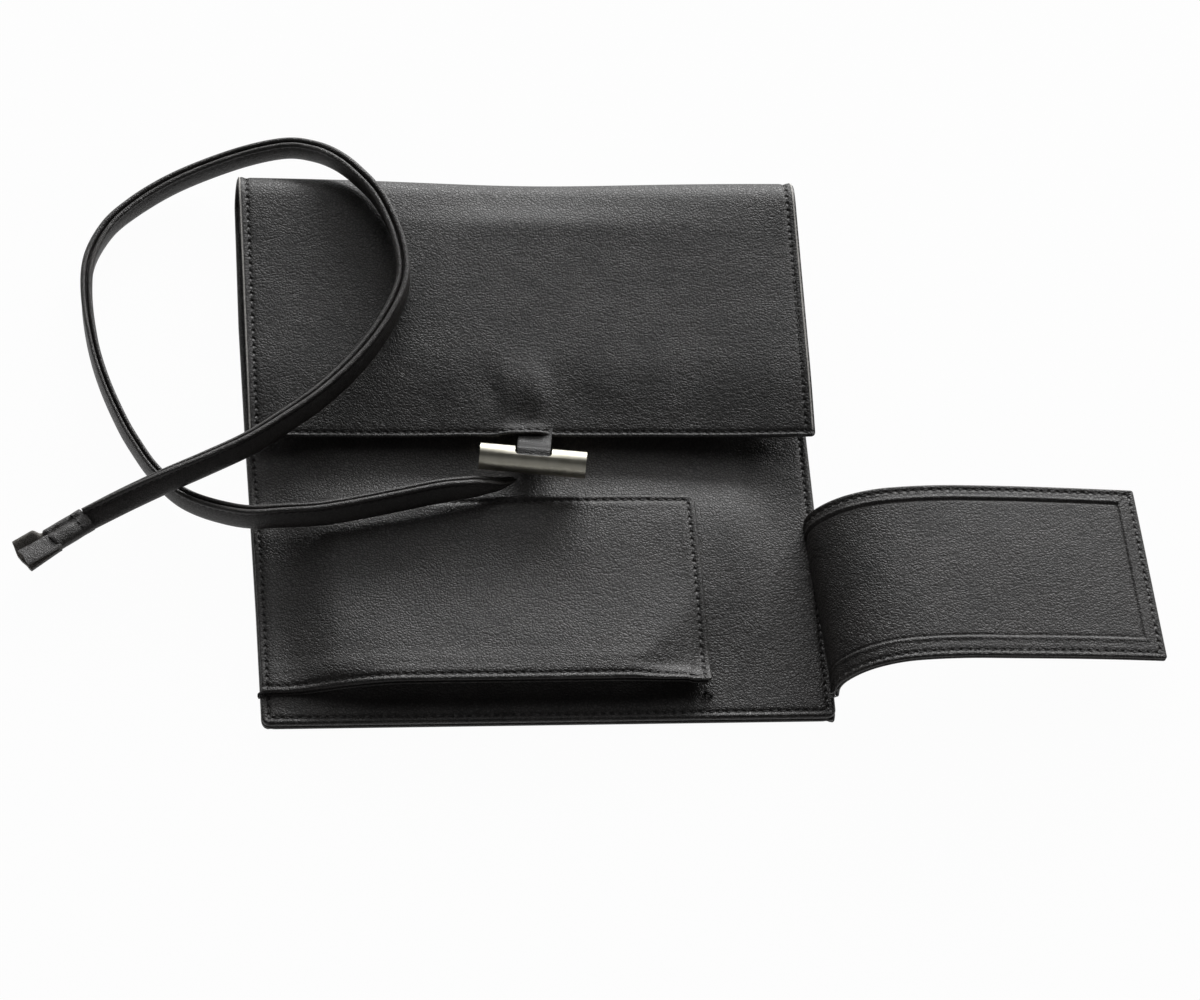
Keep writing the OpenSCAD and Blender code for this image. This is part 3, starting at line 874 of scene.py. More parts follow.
class StitchTree(GeometryTree):
    """A Geometry Nodes tree that lays one short thread at each pitch along a line."""

    def __init__(self) -> None:
        """Builds the tree with its named inputs."""
        super().__init__("row_of_stitches", {
            "Line": "Geometry", "Pitch": "Float", "Length": "Float", "Thickness": "Float",
            "Slant": "Float", "Seed": "Int", "Thread": "Material"}, "Stitches")
        self._wire()

    def _wire(self) -> None:
        given = self.given
        curve = self._add("GeometryNodeMeshToCurve", inputs={"Mesh": given["Line"]}).outputs[0]
        row = self._add("GeometryNodeResampleCurve", {"mode": "LENGTH"},
                        {"Curve": curve, "Length": given["Pitch"]}).outputs[0]
        tangent = self._add("GeometryNodeInputTangent").outputs[0]
        outward = self._add("GeometryNodeInputNamedAttribute", {"data_type": "FLOAT_VECTOR"},
                            {"Name": "outward"}).outputs["Attribute"]
        level = self._add("FunctionNodeAlignRotationToVector", {"axis": "X"},
                          {"Vector": tangent}).outputs[0]
        upright = self._add("FunctionNodeAlignRotationToVector", {"axis": "Z", "pivot_axis": "X"},
                            {"Rotation": level, "Vector": outward}).outputs[0]
        wobble = self._add("FunctionNodeRandomValue", {"data_type": "FLOAT"},
                           {"Min": 0.6, "Max": 1.4, "Seed": given["Seed"]})
        slant = self._add("ShaderNodeMath", {"operation": "MULTIPLY"},
                          {0: given["Slant"], 1: wobble.outputs["Value"]}).outputs[0]
        turn = self._add("FunctionNodeAxisAngleToRotation",
                         inputs={"Axis": (0, 0, 1), "Angle": slant}).outputs[0]
        laid = self._add("FunctionNodeRotateRotation", {"rotation_space": "LOCAL"},
                         {"Rotation": upright, "Rotate By": turn}).outputs[0]
        bead = self._add("GeometryNodeMeshUVSphere",
                         inputs={"Segments": 7, "Rings": 6, "Radius": 0.5}).outputs[0]
        size = self._add("ShaderNodeCombineXYZ", inputs={
            "X": given["Length"], "Y": given["Thickness"], "Z": given["Thickness"]}).outputs[0]
        stitch = self._add("GeometryNodeTransform", inputs={
            "Geometry": bead, "Scale": size}).outputs[0]
        soft = self._add("GeometryNodeSetShadeSmooth", inputs={"Geometry": stitch}).outputs[0]
        row = self._add("GeometryNodeInstanceOnPoints",
                        inputs={"Points": row, "Instance": soft, "Rotation": laid}).outputs[0]
        self._end(row, "Thread", "Stitches")

    def sew(self, name: str, lines: Sequence[tuple[Array, Array]], thread: Material,
            pitch: float, length: float = 2.15, thickness: float = 0.6, slant: float = 9.0,
            seed: int = 1) -> Object:
        """Sews rows of stitches and returns them as one plain mesh.

        Args:
            name: Name of the piece.
            lines: For each row, its points and outward directions, in millimetres.
            thread: Material of the thread.
            pitch: Distance from stitch to stitch.
            length: Length of a stitch.
            thickness: Thickness of the thread.
            slant: Turn of a stitch against its row, in degrees.
            seed: Picks how the turns differ.

        Returns:
            The stitches' object.
        """
        points = np.concatenate([p for p, _ in lines])
        outward = np.concatenate([n for _, n in lines])
        starts = np.cumsum([0] + [len(p) for p, _ in lines])
        edges = [(k, k + 1) for a, b in zip(starts, starts[1:]) for k in range(a, b - 1)]
        mesh = bpy.data.meshes.new(name + "_line")
        mesh.from_pydata((points * MM).tolist(), edges, [])
        mesh.attributes.new("outward", "FLOAT_VECTOR", "POINT").data.foreach_set(
            "vector", outward.astype(np.float32).ravel())
        line = linked(name + "_line", mesh)
        made = self.run(line, {
            "Pitch": pitch * MM, "Length": length * MM, "Thickness": thickness * MM,
            "Slant": math.radians(slant), "Seed": seed, "Thread": thread})
        bpy.data.objects.remove(line)
        made.name = name
        return linked(name, made)


# ---- How a piece is held ----


@dataclass(frozen=True)
class Zone:
    """A stretch of a sheet and the body, or the two bodies, that carry it."""

    name: str
    lo: float
    hi: float
    first: str
    second: str | None = None
    start: Point = (0.0, 0.0, 0.0)
    end: Point = (0.0, 0.0, 0.0)

    def hold(self, obj: Object) -> Object:
        """Makes a piece in this stretch ride or bend with its bodies."""
        if self.second is None:
            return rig.ride(obj, self.first)
        start, end = (tuple(v * MM for v in point) for point in (self.start, self.end))
        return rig.blend(obj, self.first, self.second, start=start, end=end)


def bending_zones(bodies: Sequence[str], cuts: Sequence[float], start: float, end: float,
                  point: Callable[[float], Point]) -> list[Zone]:
    """The stretches of a sheet, each of which bends from one body to the next.

    Args:
        bodies: The bodies, in order along the sheet.
        cuts: Lengths along the sheet at which it belongs to each body in full.
        start: Where the first stretch starts.
        end: Where the last stretch ends.
        point: Gives the sheet's point at a length.

    Returns:
        The stretches, in order.
    """
    marks = [start, *cuts[1:-1], end]
    return [Zone(str(k + 1), marks[k], marks[k + 1], bodies[k], bodies[k + 1], point(cuts[k]),
                 point(cuts[k + 1])) for k in range(len(cuts) - 1)]


@dataclass(frozen=True)
class Layer:
    """One layer of a sheet: where its two faces lie over the sheet's own places."""

    name: str
    place: Callable[[Array, Array, Array], Array]
    top: Height
    under: Height
    across: Array
    along: Array

    def make(self, material: Material, slot: str) -> Object:
        """Makes the layer's mesh, dressed and with its slot."""
        u, s = np.meshgrid(self.across, self.along)
        obj = make_sheet(self.name, self.place(u, s, self.top(u, s)),
                         self.place(u, s, self.under(u, s)), np.stack([u, s], -1))
        return dress(obj, material, slot)

    def row(self, seam: Seam, lo: float, hi: float, sink: float) -> tuple[Array, Array, int]:
        """A row of stitches on the top face, between two places along the sheet.

        Args:
            seam: The seam.
            lo: Lowest place along the sheet that counts.
            hi: Highest place along the sheet that counts.
            sink: Depth of the stitches' middle under the face.

        Returns:
            Points, outward directions and how many stitches there are.
        """
        (u0, s0), (u1, s1) = seam.ends()
        count = round(math.hypot(u1 - u0, s1 - s0) / seam.even_pitch())
        t = np.linspace(0, 1, count + 1)
        u, s = mix(u0, u1, t), mix(s0, s1, t)
        held = (s >= lo) & (s < hi)
        u, s = u[held], s[held]
        high = self.top(u, s)
        points = self.place(u, s, high - sink)
        return points, (self.place(u, s, high + 0.5) - points) / (0.5 + sink), len(u)


def dress(obj: Object, material: Material, slot: str) -> Object:
    """Gives a piece its material and its slot."""
    obj.data.materials.clear()
    obj.data.materials.append(material)
    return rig.slot(obj, slot)


def make_thread(name: str, lines: Sequence[Sequence[Point]], thickness: float,
                material: Material, body: str) -> Object:
    """Makes bent lengths of thread as one piece.

    Args:
        name: Name of the piece.
        lines: For each length of thread, the points that it runs through.
        thickness: Thickness of the thread.
        material: Its material.
        body: The body it rides on.

    Returns:
        The thread's object.
    """
    points, faces = [], []
    for line in lines:
        rings = round_rings(along_curve(line, 0.25), thickness / 2, 8)
        skin, skin_points = tube_faces(rings, sum(len(p) for p in points))
        points.append(skin_points)
        faces += skin
    piece = make_object(name, np.concatenate(points), faces, None, 80.0)
    dress(piece, material, "thread_black")
    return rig.ride(piece, body)


def rim(edge: Array, radius: float = 0.8) -> Array:
    """How full a sheet is near a rounded edge, from nearly 0 at the edge to 1."""
    c = 1 - np.clip(edge / radius, 0, 1)
    return np.maximum(np.sqrt(np.maximum(0, 1 - c * c)), 0.12)


def rounded(face: Array, other: Array, edge: Array, radius: float = 0.8) -> Array:
    """Height of one face of a sheet, drawn in to the sheet's middle at its edge.

    Args:
        face: Height of the face.
        other: Height of the sheet's other face.
        edge: Distances to the sheet's edge.
        radius: Radius of the rounding.

    Returns:
        The face's height, rounded off.
    """
    middle = (face + other) / 2
    return middle + (face - middle) * rim(edge, radius)


def welt(edge: Array, seam: float = 3.0, groove: float = 0.30, roll: float = 0.16) -> Array:
    """Relief of a sewn edge: a low roll outside the seam and a groove along it."""
    return roll * hump(edge - seam * 0.45, seam * 0.4) - groove * hump(edge - seam, 0.75)


@dataclass(frozen=True)
class Workshop:
    """The finishes and the stitch tree that every sub-assembly shares."""

    leather: Leather
    strap_leather: Leather
    lining: Material
    thread: Material
    pale_thread: Material
    metal: Material
    cut_edge: Material
    raw_edge: Material
    stitches: StitchTree

    def sew(self, name: str, layer: Layer, seams: Sequence[Seam], zones: Sequence[Zone],
            sink: float = 0.12, length: float = 2.15, thickness: float = 0.6) -> None:
        """Sews a layer's seams, one piece for each stretch.

        Args:
            name: First part of the pieces' names.
            layer: The layer that is sewn.
            seams: The seams.
            zones: The stretches of the sheet.
            sink: Depth of the stitches' middle under the face.
            length: Length of a stitch.
            thickness: Thickness of the thread.
        """
        for zone in zones:
            rows = [(seam, layer.row(seam, zone.lo, zone.hi, sink)) for seam in seams]
            rows = [(seam, row) for seam, row in rows if row[2] > 1]
            if not rows:
                continue
            pitch = float(np.mean([seam.even_pitch() for seam, _ in rows]))
            piece = self.stitches.sew(f"{name}_{zone.name}", [row[:2] for _, row in rows],
                                      self.thread, pitch, length, thickness)
            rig.slot(piece, "thread_black")
            zone.hold(piece)
            LOG.info("%s: %d rows", piece.name, len(rows))


# ---- Back panel, fold and flap ----


@dataclass(frozen=True)
class Body:
    """Sizes that the pouch's panels share."""

    width: float = 180.0
    height: float = 204.0
    leather: float = 0.9
    lining: float = 0.3
    band: float = 2.2
    rise: float = 4.0
    seam_band: float = 7.0
    slope: float = 20.0
    low_slope: float = 12.0
    mouth_inset: float = 16.0
    corner: float = 3.0

    @property
    def sheet(self) -> float:
        """Thickness of leather and lining together."""
        return self.leather + self.lining

    def lean(self, y: Array) -> Array:
        """Sideways lean of the soft body at each height."""
        return np.interp(y, [-102, -60, -20, 8, 50, 102], [1.3, 0.6, -0.4, -1.2, -2.1, -2.2])

    def front(self, x: Array, y: Array) -> Array:
        """Height of the front panel's underside."""
        side = self.width / 2 - abs(x) - self.seam_band
        low = y + self.height / 2 - self.seam_band
        pressed = 0.5 * smooth((x - 25) / 50)
        low_slope = mix(self.low_slope, 58.0, smooth((x - 25) / 40))
        return self.band + self.rise * (1 - pressed) * smooth(side / self.slope) \
            * smooth(low / low_slope)


@dataclass(frozen=True)
class Wrap:
    """The one long sheet that is the back panel, the top fold and the flap."""

    body: Body
    fold_radius: float = 7.5
    flap_length: float = 92.2
    flap_width: float = 181.5
    droop: float = 2.756
    side_seam: float = 2.8
    end_seam: float = 1.7
    low_seam: float = 2.4
    turned: float = 5.5
    flap_corner: float = 1.6
    ply_step: float = 0.45
    # Each crease by the loop: its rise, its place and half width across, and the same along
    creases: tuple[tuple[float, ...], ...] = (
        (0.5, 3.0, 4.5, 0.86, 0.10), (-0.55, -11.0, 6.0, 0.82, 0.08),
        (-0.35, 15.0, 7.0, 0.85, 0.09),
    )

    @property
    def back_length(self) -> float:
        """Length of the back, from the bottom seam to the fold."""
        return self.body.height - self.fold_radius

    @property
    def fold_length(self) -> float:
        """Length of the sheet's middle round the fold."""
        return (self.fold_radius - self.body.sheet / 2) * math.radians(180 + self.droop)

    @property
    def length(self) -> float:
        """Length of the whole sheet."""
        return self.back_length + self.fold_length + self.flap_length

    @cached_property
    def path(self) -> BentPath:
        """The sheet's middle, seen from its left side."""
        a, b = self.back_length, self.back_length + self.fold_length
        n = self.flap_length
        bend = 0.785 * self.fold_length
        flat = 180.4 + self.droop
        return BentPath(((0, 0), (a, 0), (a + bend, 150), (b, 171), (b + 3, 181), (b + 7, flat),
                         (b + 0.66 * n, flat), (b + 0.76 * n, 186), (b + 0.85 * n, 188.4),
                         (b + n, 189)))

    def fold_at(self, share: float) -> float:
        """Place along the sheet at a share of the fold."""
        return self.back_length + self.fold_length * share

    def point(self, s: float) -> Point:
        """Point on the sheet's middle at length s."""
        y, z = self.path.beside(np.array(s), np.array(0.0))
        return 0.0, float(y) - self.body.height / 2, float(z) + self.body.sheet / 2

    def zones(self) -> list[Zone]:
        """The four stretches of the sheet, cut at the middle of each link of the fold."""
        bodies = ("root", "fold_1", "fold_2", "fold_3", "flap")
        cuts = [self.fold_at(share) for share in (0.0, 0.25, 0.5, 0.75, 1.0)]
        return bending_zones(bodies, cuts, 0.0, self.length, self.point)

    def shares(self, s: Array) -> tuple[Array, Array]:
        """How far along the fold, and how far along the flap, each place lies."""
        fold = np.clip((s - self.back_length) / self.fold_length, 0, 1)
        flap = np.clip((s - self.fold_at(1.0)) / self.flap_length, 0, 1)
        return fold, flap

    def place(self, u: Array, s: Array, offset: Array) -> Array:
        """Points of the sheet.

        Args:
            u: Places across, from minus to plus half the body's width.
            s: Places along, from the bottom seam.
            offset: Heights towards the sheet's inner side.

        Returns:
            The points.
        """
        fold, flap = self.shares(s)
        width = mix(self.body.width, self.flap_width, smooth(fold))
        lift = self.lift(u, s)
        half = self.body.width / 2
        for far, radius in ((s, self.body.corner), (self.length - s, self.flap_corner)):
            for side in (-1, 1):
                du, ds = corner_shift(half - side * u, far, radius)
                u, s = u - side * du, s + (ds if far is s else -ds)
        y, z = self.path.beside(s, offset)
        askew = mix(0.65, 0.1, flap) + u * mix(0.025, 0.0125, flap) \
            - 0.35 * (1 - flap) * (u / half) ** 2
        y = y - self.body.height / 2 - askew * smooth((s - self.back_length + 80) / 80)
        shift = mix(self.body.lean(np.minimum(y, 102)), -0.5 + flap * 1.1, smooth(fold * 1.2))
        x = u * width / self.body.width + shift
        return np.stack([x, y, z + self.body.sheet / 2 + lift], -1)

    def lift(self, u: Array, s: Array) -> Array:
        """Rise of the flap off its even slope: the hump over the loop and soft waves."""
        fold, flap = self.shares(s)
        free = smooth((flap - 0.30) / 0.70)
        near = 1 - smooth((abs(u + 2.8) - 4.4) / 5.6)
        over_loop = near * (1.7 * hump(1 - flap, 0.04) + 0.9 * hump(0.80 - flap, 0.10))
        for rise, across, wide, along, long in self.creases:
            over_loop = over_loop + rise * hump(u - across, wide) * hump(along - flap, long)
        beside_loop = 0.35 * hump(u + 22, 9.0) * free - 0.2 * hump(u - 24, 10.0) * free
        corner = 0.5 * hump(u + 86, 16.0) * free + 0.3 * hump(u - 88, 18.0) * free
        wave = 0.22 * ripple(u, s, 62.0, 4) * smooth(flap / 0.2)
        pressed = 2.6 * hump(u - 4, 44.0) * (1 - smooth(flap / 0.15)) * smooth(fold * 1.4)
        return over_loop + beside_loop + corner + wave - pressed

    def edge(self, u: Array, s: Array) -> Array:
        """Distance to the nearest finished edge."""
        half = self.body.width / 2
        return np.minimum(np.minimum(u + half, half - u), np.minimum(s, self.length - s))

    def outer(self, u: Array, s: Array) -> Array:
        """Height of the leather's outer face, which is the path's right side."""
        full = rim(self.edge(u, s))
        plain = rounded(-self.body.sheet / 2, self.lay(u, s), self.edge(u, s))
        return plain + self.under_ply(u, s) * full - self.sewn(u, s)

    def sewn(self, u: Array, s: Array) -> Array:
        """Relief of the sewn edges: a roll outside each seam and a groove along it."""
        side = self.body.width / 2 - abs(u)
        reliefs = (welt(side, self.side_seam), welt(s, self.low_seam),
                   welt(self.length - s, self.end_seam, 0.24, 0.22))
        return np.clip(sum(reliefs), -0.34, 0.3)

    def ply_edge(self, u: Array) -> Array:
        """How far each place lies inside the flap's upper ply, whose cut edge shows."""
        return np.minimum(u + self.body.width / 2 - 0.5, self.body.width / 2 - 0.8 - u)

    def under_ply(self, u: Array, s: Array) -> Array:
        """Drop of the margin where only the lower ply is left, on the flap and the fold."""
        fold, _ = self.shares(s)
        outside = 1 - smooth(self.ply_edge(u) / 0.3 + 0.5)
        return self.ply_step * outside * smooth(fold * 2)

    def lay(self, u: Array, s: Array) -> Array:
        """Height of the leather's inner side. The turned edge is two plies thick."""
        fold, _ = self.shares(s)
        turned = mix(0.95, 0.35, smooth(fold * 2))
        single = self.body.sheet / 2 - self.body.lining
        return mix(turned, single, smooth((self.edge(u, s) - self.turned) / 1.2))

    def inner(self, u: Array, s: Array) -> Array:
        """Height of the leather's inner face, rounded at its edges."""
        return rounded(self.lay(u, s), -self.body.sheet / 2, self.edge(u, s))

    def lining_floor(self, u: Array, s: Array) -> Array:
        """Height of the lining's face against the leather."""
        return self.lay(u, s) + 0.02

    def lining_face(self, u: Array, s: Array) -> Array:
        """Height of the lining's face that shows inside."""
        return self.lining_floor(u, s) + self.body.lining

    def seams(self) -> list[Seam]:
        """The rows of stitches: round the flap, and round the back panel."""
        half = self.body.width / 2 - self.side_seam
        low, high = self.low_seam, self.length - self.end_seam
        return [
            Seam(Axis.ALONG, -half, low, high - 1.4),
            Seam(Axis.ALONG, half, low, high - 1.4),
            Seam(Axis.ACROSS, low, -half, half),
            Seam(Axis.ACROSS, high, -half, half),
        ]

    def build(self, shop: Workshop) -> None:
        """Makes the leather, the lining and the stitches."""
        half = self.body.width / 2
        # The flap wears a darker copy of the body's leather: painted shade, so that the flap reads darker than the
        # front panel and the pocket.
        finish = replace(shop.leather, name="flap_leather", roughness=0.44, crease=0.07,
                         colour=(0.0065, 0.0058, 0.0055),
                         light=(0.027, 0.0242, 0.0228)).build(self.seams())
        ply_marks = [0.35 - half, 0.5 - half, 0.65 - half, half - 1.0, half - 0.8, half - 0.6]
        across = thinned(np.concatenate([stations(-half, half, 1.6), ply_marks]))
        inset = 1.3
        replaced = (("back_panel",), ("fold_strip_1",), ("fold_strip_2", "fold_strip_3"),
                    ("flap_panel",))
        linings = (("back_lining",), (), (), ("flap_lining",))
        for k, zone in enumerate(self.zones()):
            along = stations(zone.lo, zone.hi, 1.6 if k in (0, 3) else 0.7, k == 0, k == 3)
            leather = Layer(f"wrap_leather_{zone.name}", self.place, self.outer, self.inner,
                            across, along)
            piece = leather.make(finish, "leather_black")
            zone.hold(piece)
            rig.replaces(piece, *replaced[k])
            lo = zone.lo + (inset if k == 0 else 0)
            hi = zone.hi - (inset if k == 3 else 0)
            cloth = Layer(f"wrap_lining_{zone.name}", self.place, self.lining_face,
                          self.lining_floor, stations(-half + inset, half - inset, 3.0),
                          stations(lo, hi, 3.0 if k in (0, 3) else 0.9, k == 0, k == 3))
            piece = cloth.make(shop.lining, "lining_grey")
            zone.hold(piece)
            if linings[k]:
                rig.replaces(piece, *linings[k])
            self.raw_edges(shop, zone, along)
            LOG.info("wrap stretch %s made", zone.name)
        whole = Layer("wrap", self.place, self.outer, self.inner, across, across)
        shop.sew("wrap_stitches", whole, self.seams(), self.zones(), sink=-0.10)

    def raw_edges(self, shop: Workshop, zone: Zone, along: Array) -> None:
        """Makes the pale cut edge of the flap's upper ply along both sides of a stretch."""
        along = along[along > self.fold_at(0.12)]
        along = along[along < self.length - 2.0]
        if len(along) < 3:
            return
        half = self.body.width / 2
        for name, u in (("left", -half + 0.5), ("right", half - 0.78)):
            def top(x: Array, s: Array) -> Array:
                """The strip's outer face."""
                wave = 0.04 * ripple(x * 0, s, 7.0, 3)
                return -self.body.sheet / 2 - 0.10 - wave - self.sewn(x, s)

            def under(x: Array, s: Array) -> Array:
                """The strip's inner face."""
                return top(x, s) + self.ply_step
            strip = Layer(f"raw_edge_{name}_{zone.name}", self.place, top, under,
                          np.array([u - 0.24, u - 0.18, u + 0.18, u + 0.24]), along)
            zone.hold(strip.make(shop.raw_edge, "leather_black"))


# ---- Front panel and pocket ----


@dataclass(frozen=True)
class FrontPanel:
    """The front of the main compartment, with its lining and the hem at its mouth."""

    body: Body
    edge_seam: float = 2.4
    hem: float = 10.0

    @property
    def top_y(self) -> float:
        """Place of the mouth."""
        return self.body.height / 2 - self.body.mouth_inset

    def edge(self, x: Array, y: Array) -> Array:
        """Distance to the nearest sewn edge."""
        half = self.body.width / 2
        return np.minimum(np.minimum(x + half, half - x), y + self.body.height / 2)

    def edge_all(self, x: Array, y: Array) -> Array:
        """Distance to the nearest edge, the mouth's included."""
        return np.minimum(self.edge(x, y), self.top_y - y)

    def swell(self, x: Array, y: Array) -> Array:
        """Soft unevenness of the panel, none at its edges."""
        calm = smooth((self.edge(x, y) - 5) / 18)
        right = 0.5 * hump(x - 66, 13.0) * hump(y + 28, 30.0)
        dip = 3.4 * hump(y + 7, 15.0) * smooth((86 - abs(x)) / 22)
        return calm * (0.14 * ripple(x, y, 55.0, 9) + right - dip)

    def high(self, x: Array, y: Array) -> Array:
        """Height of the leather's face before its edges are rounded."""
        return self.body.front(x, y) + self.body.sheet + self.swell(x, y)

    def face(self, x: Array, y: Array) -> Array:
        """Height of the leather's face."""
        return self.face_plain(x, y) + welt(self.edge(x, y), self.edge_seam, 0.34, 0.18)

    def face_plain(self, x: Array, y: Array) -> Array:
        """Height of the leather's face without its sewn relief."""
        return rounded(self.high(x, y), self.floor_plain(x, y), self.edge_all(x, y))

    def floor_plain(self, x: Array, y: Array) -> Array:
        """Height of the leather's underside before its edges are rounded."""
        d = self.edge(x, y)
        free = self.body.front(x, y) + self.body.lining + self.swell(x, y)
        return mix(1.78, free, smooth((d - 5.5) / 1.2))

    def floor(self, x: Array, y: Array) -> Array:
        """Height of the leather's underside."""
        return rounded(self.floor_plain(x, y), self.high(x, y), self.edge_all(x, y))

    def place(self, x: Array, y: Array, z: Array) -> Array:
        """Points of the panel, with the body's lean and its round lower corners."""
        half, low = self.body.width / 2, -self.body.height / 2
        for side in (-1, 1):
            dx, dy = corner_shift(half - side * x, y - low, self.body.corner)
            x, y = x - side * dx, y + dy
        return np.stack([x + self.body.lean(y), y + 0 * z, z], -1)

    def seams(self) -> list[Seam]:
        """The row of stitches round three sides."""
        half, low = self.body.width / 2 - self.edge_seam, -self.body.height / 2 + self.edge_seam
        return [
            Seam(Axis.ALONG, -half, low, self.top_y - 1.5),
            Seam(Axis.ALONG, half, low, self.top_y - 1.5),
            Seam(Axis.ACROSS, low, -half, half),
        ]

    def build(self, shop: Workshop) -> None:
        """Makes the panel, its lining, its hem and its stitches."""
        half, low = self.body.width / 2, -self.body.height / 2
        across, along = stations(-half, half, 1.6), stations(low, self.top_y, 1.6)
        panel = Layer("front_leather", self.place, self.face, self.floor, across, along)
        hem_row = Seam(Axis.ACROSS, self.top_y - self.hem + 2.0, -half + 9, half - 9)
        seams = [*self.seams(), hem_row]
        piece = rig.ride(panel.make(shop.leather.build(seams), "leather_black"), "root")
        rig.replaces(piece, "front_panel", "seam_allowance")

        def above(x: Array, y: Array) -> Array:
            """The lining's face against the leather."""
            return self.body.front(x, y) + self.body.lining - 0.02 + self.swell(x, y)

        def below(x: Array, y: Array) -> Array:
            """The lining's face in the compartment."""
            return self.body.front(x, y) + self.swell(x, y)

        inset = self.body.seam_band - 0.5
        lining = Layer("front_lining_cloth", self.place, above, below,
                       stations(-half + inset, half - inset, 3.0),
                       stations(low + inset, self.top_y - self.hem + 3, 3.0))
        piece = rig.ride(lining.make(shop.lining, "lining_grey"), "root")
        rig.replaces(piece, "front_lining")

        def hem_low(x: Array, y: Array) -> Array:
            """The hem's lower face."""
            d = np.minimum(self.top_y - 0.2 - y, self.edge(x, y))
            return below(x, y) - 0.08 - 0.5 * rim(d, 0.4)

        hem = Layer("mouth_hem_leather", self.place, lambda x, y: below(x, y) - 0.06, hem_low,
                    stations(-half + 8.5, half - 8.5, 2.5),
                    stations(self.top_y - self.hem, self.top_y - 0.2, 2.0))
        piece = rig.ride(hem.make(shop.leather.build(), "leather_black"), "root")
        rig.replaces(piece, "mouth_hem")
        zone = Zone("front", -1e3, 1e3, "root")
        shop.sew("stitches", panel, seams, [zone], sink=0.10)


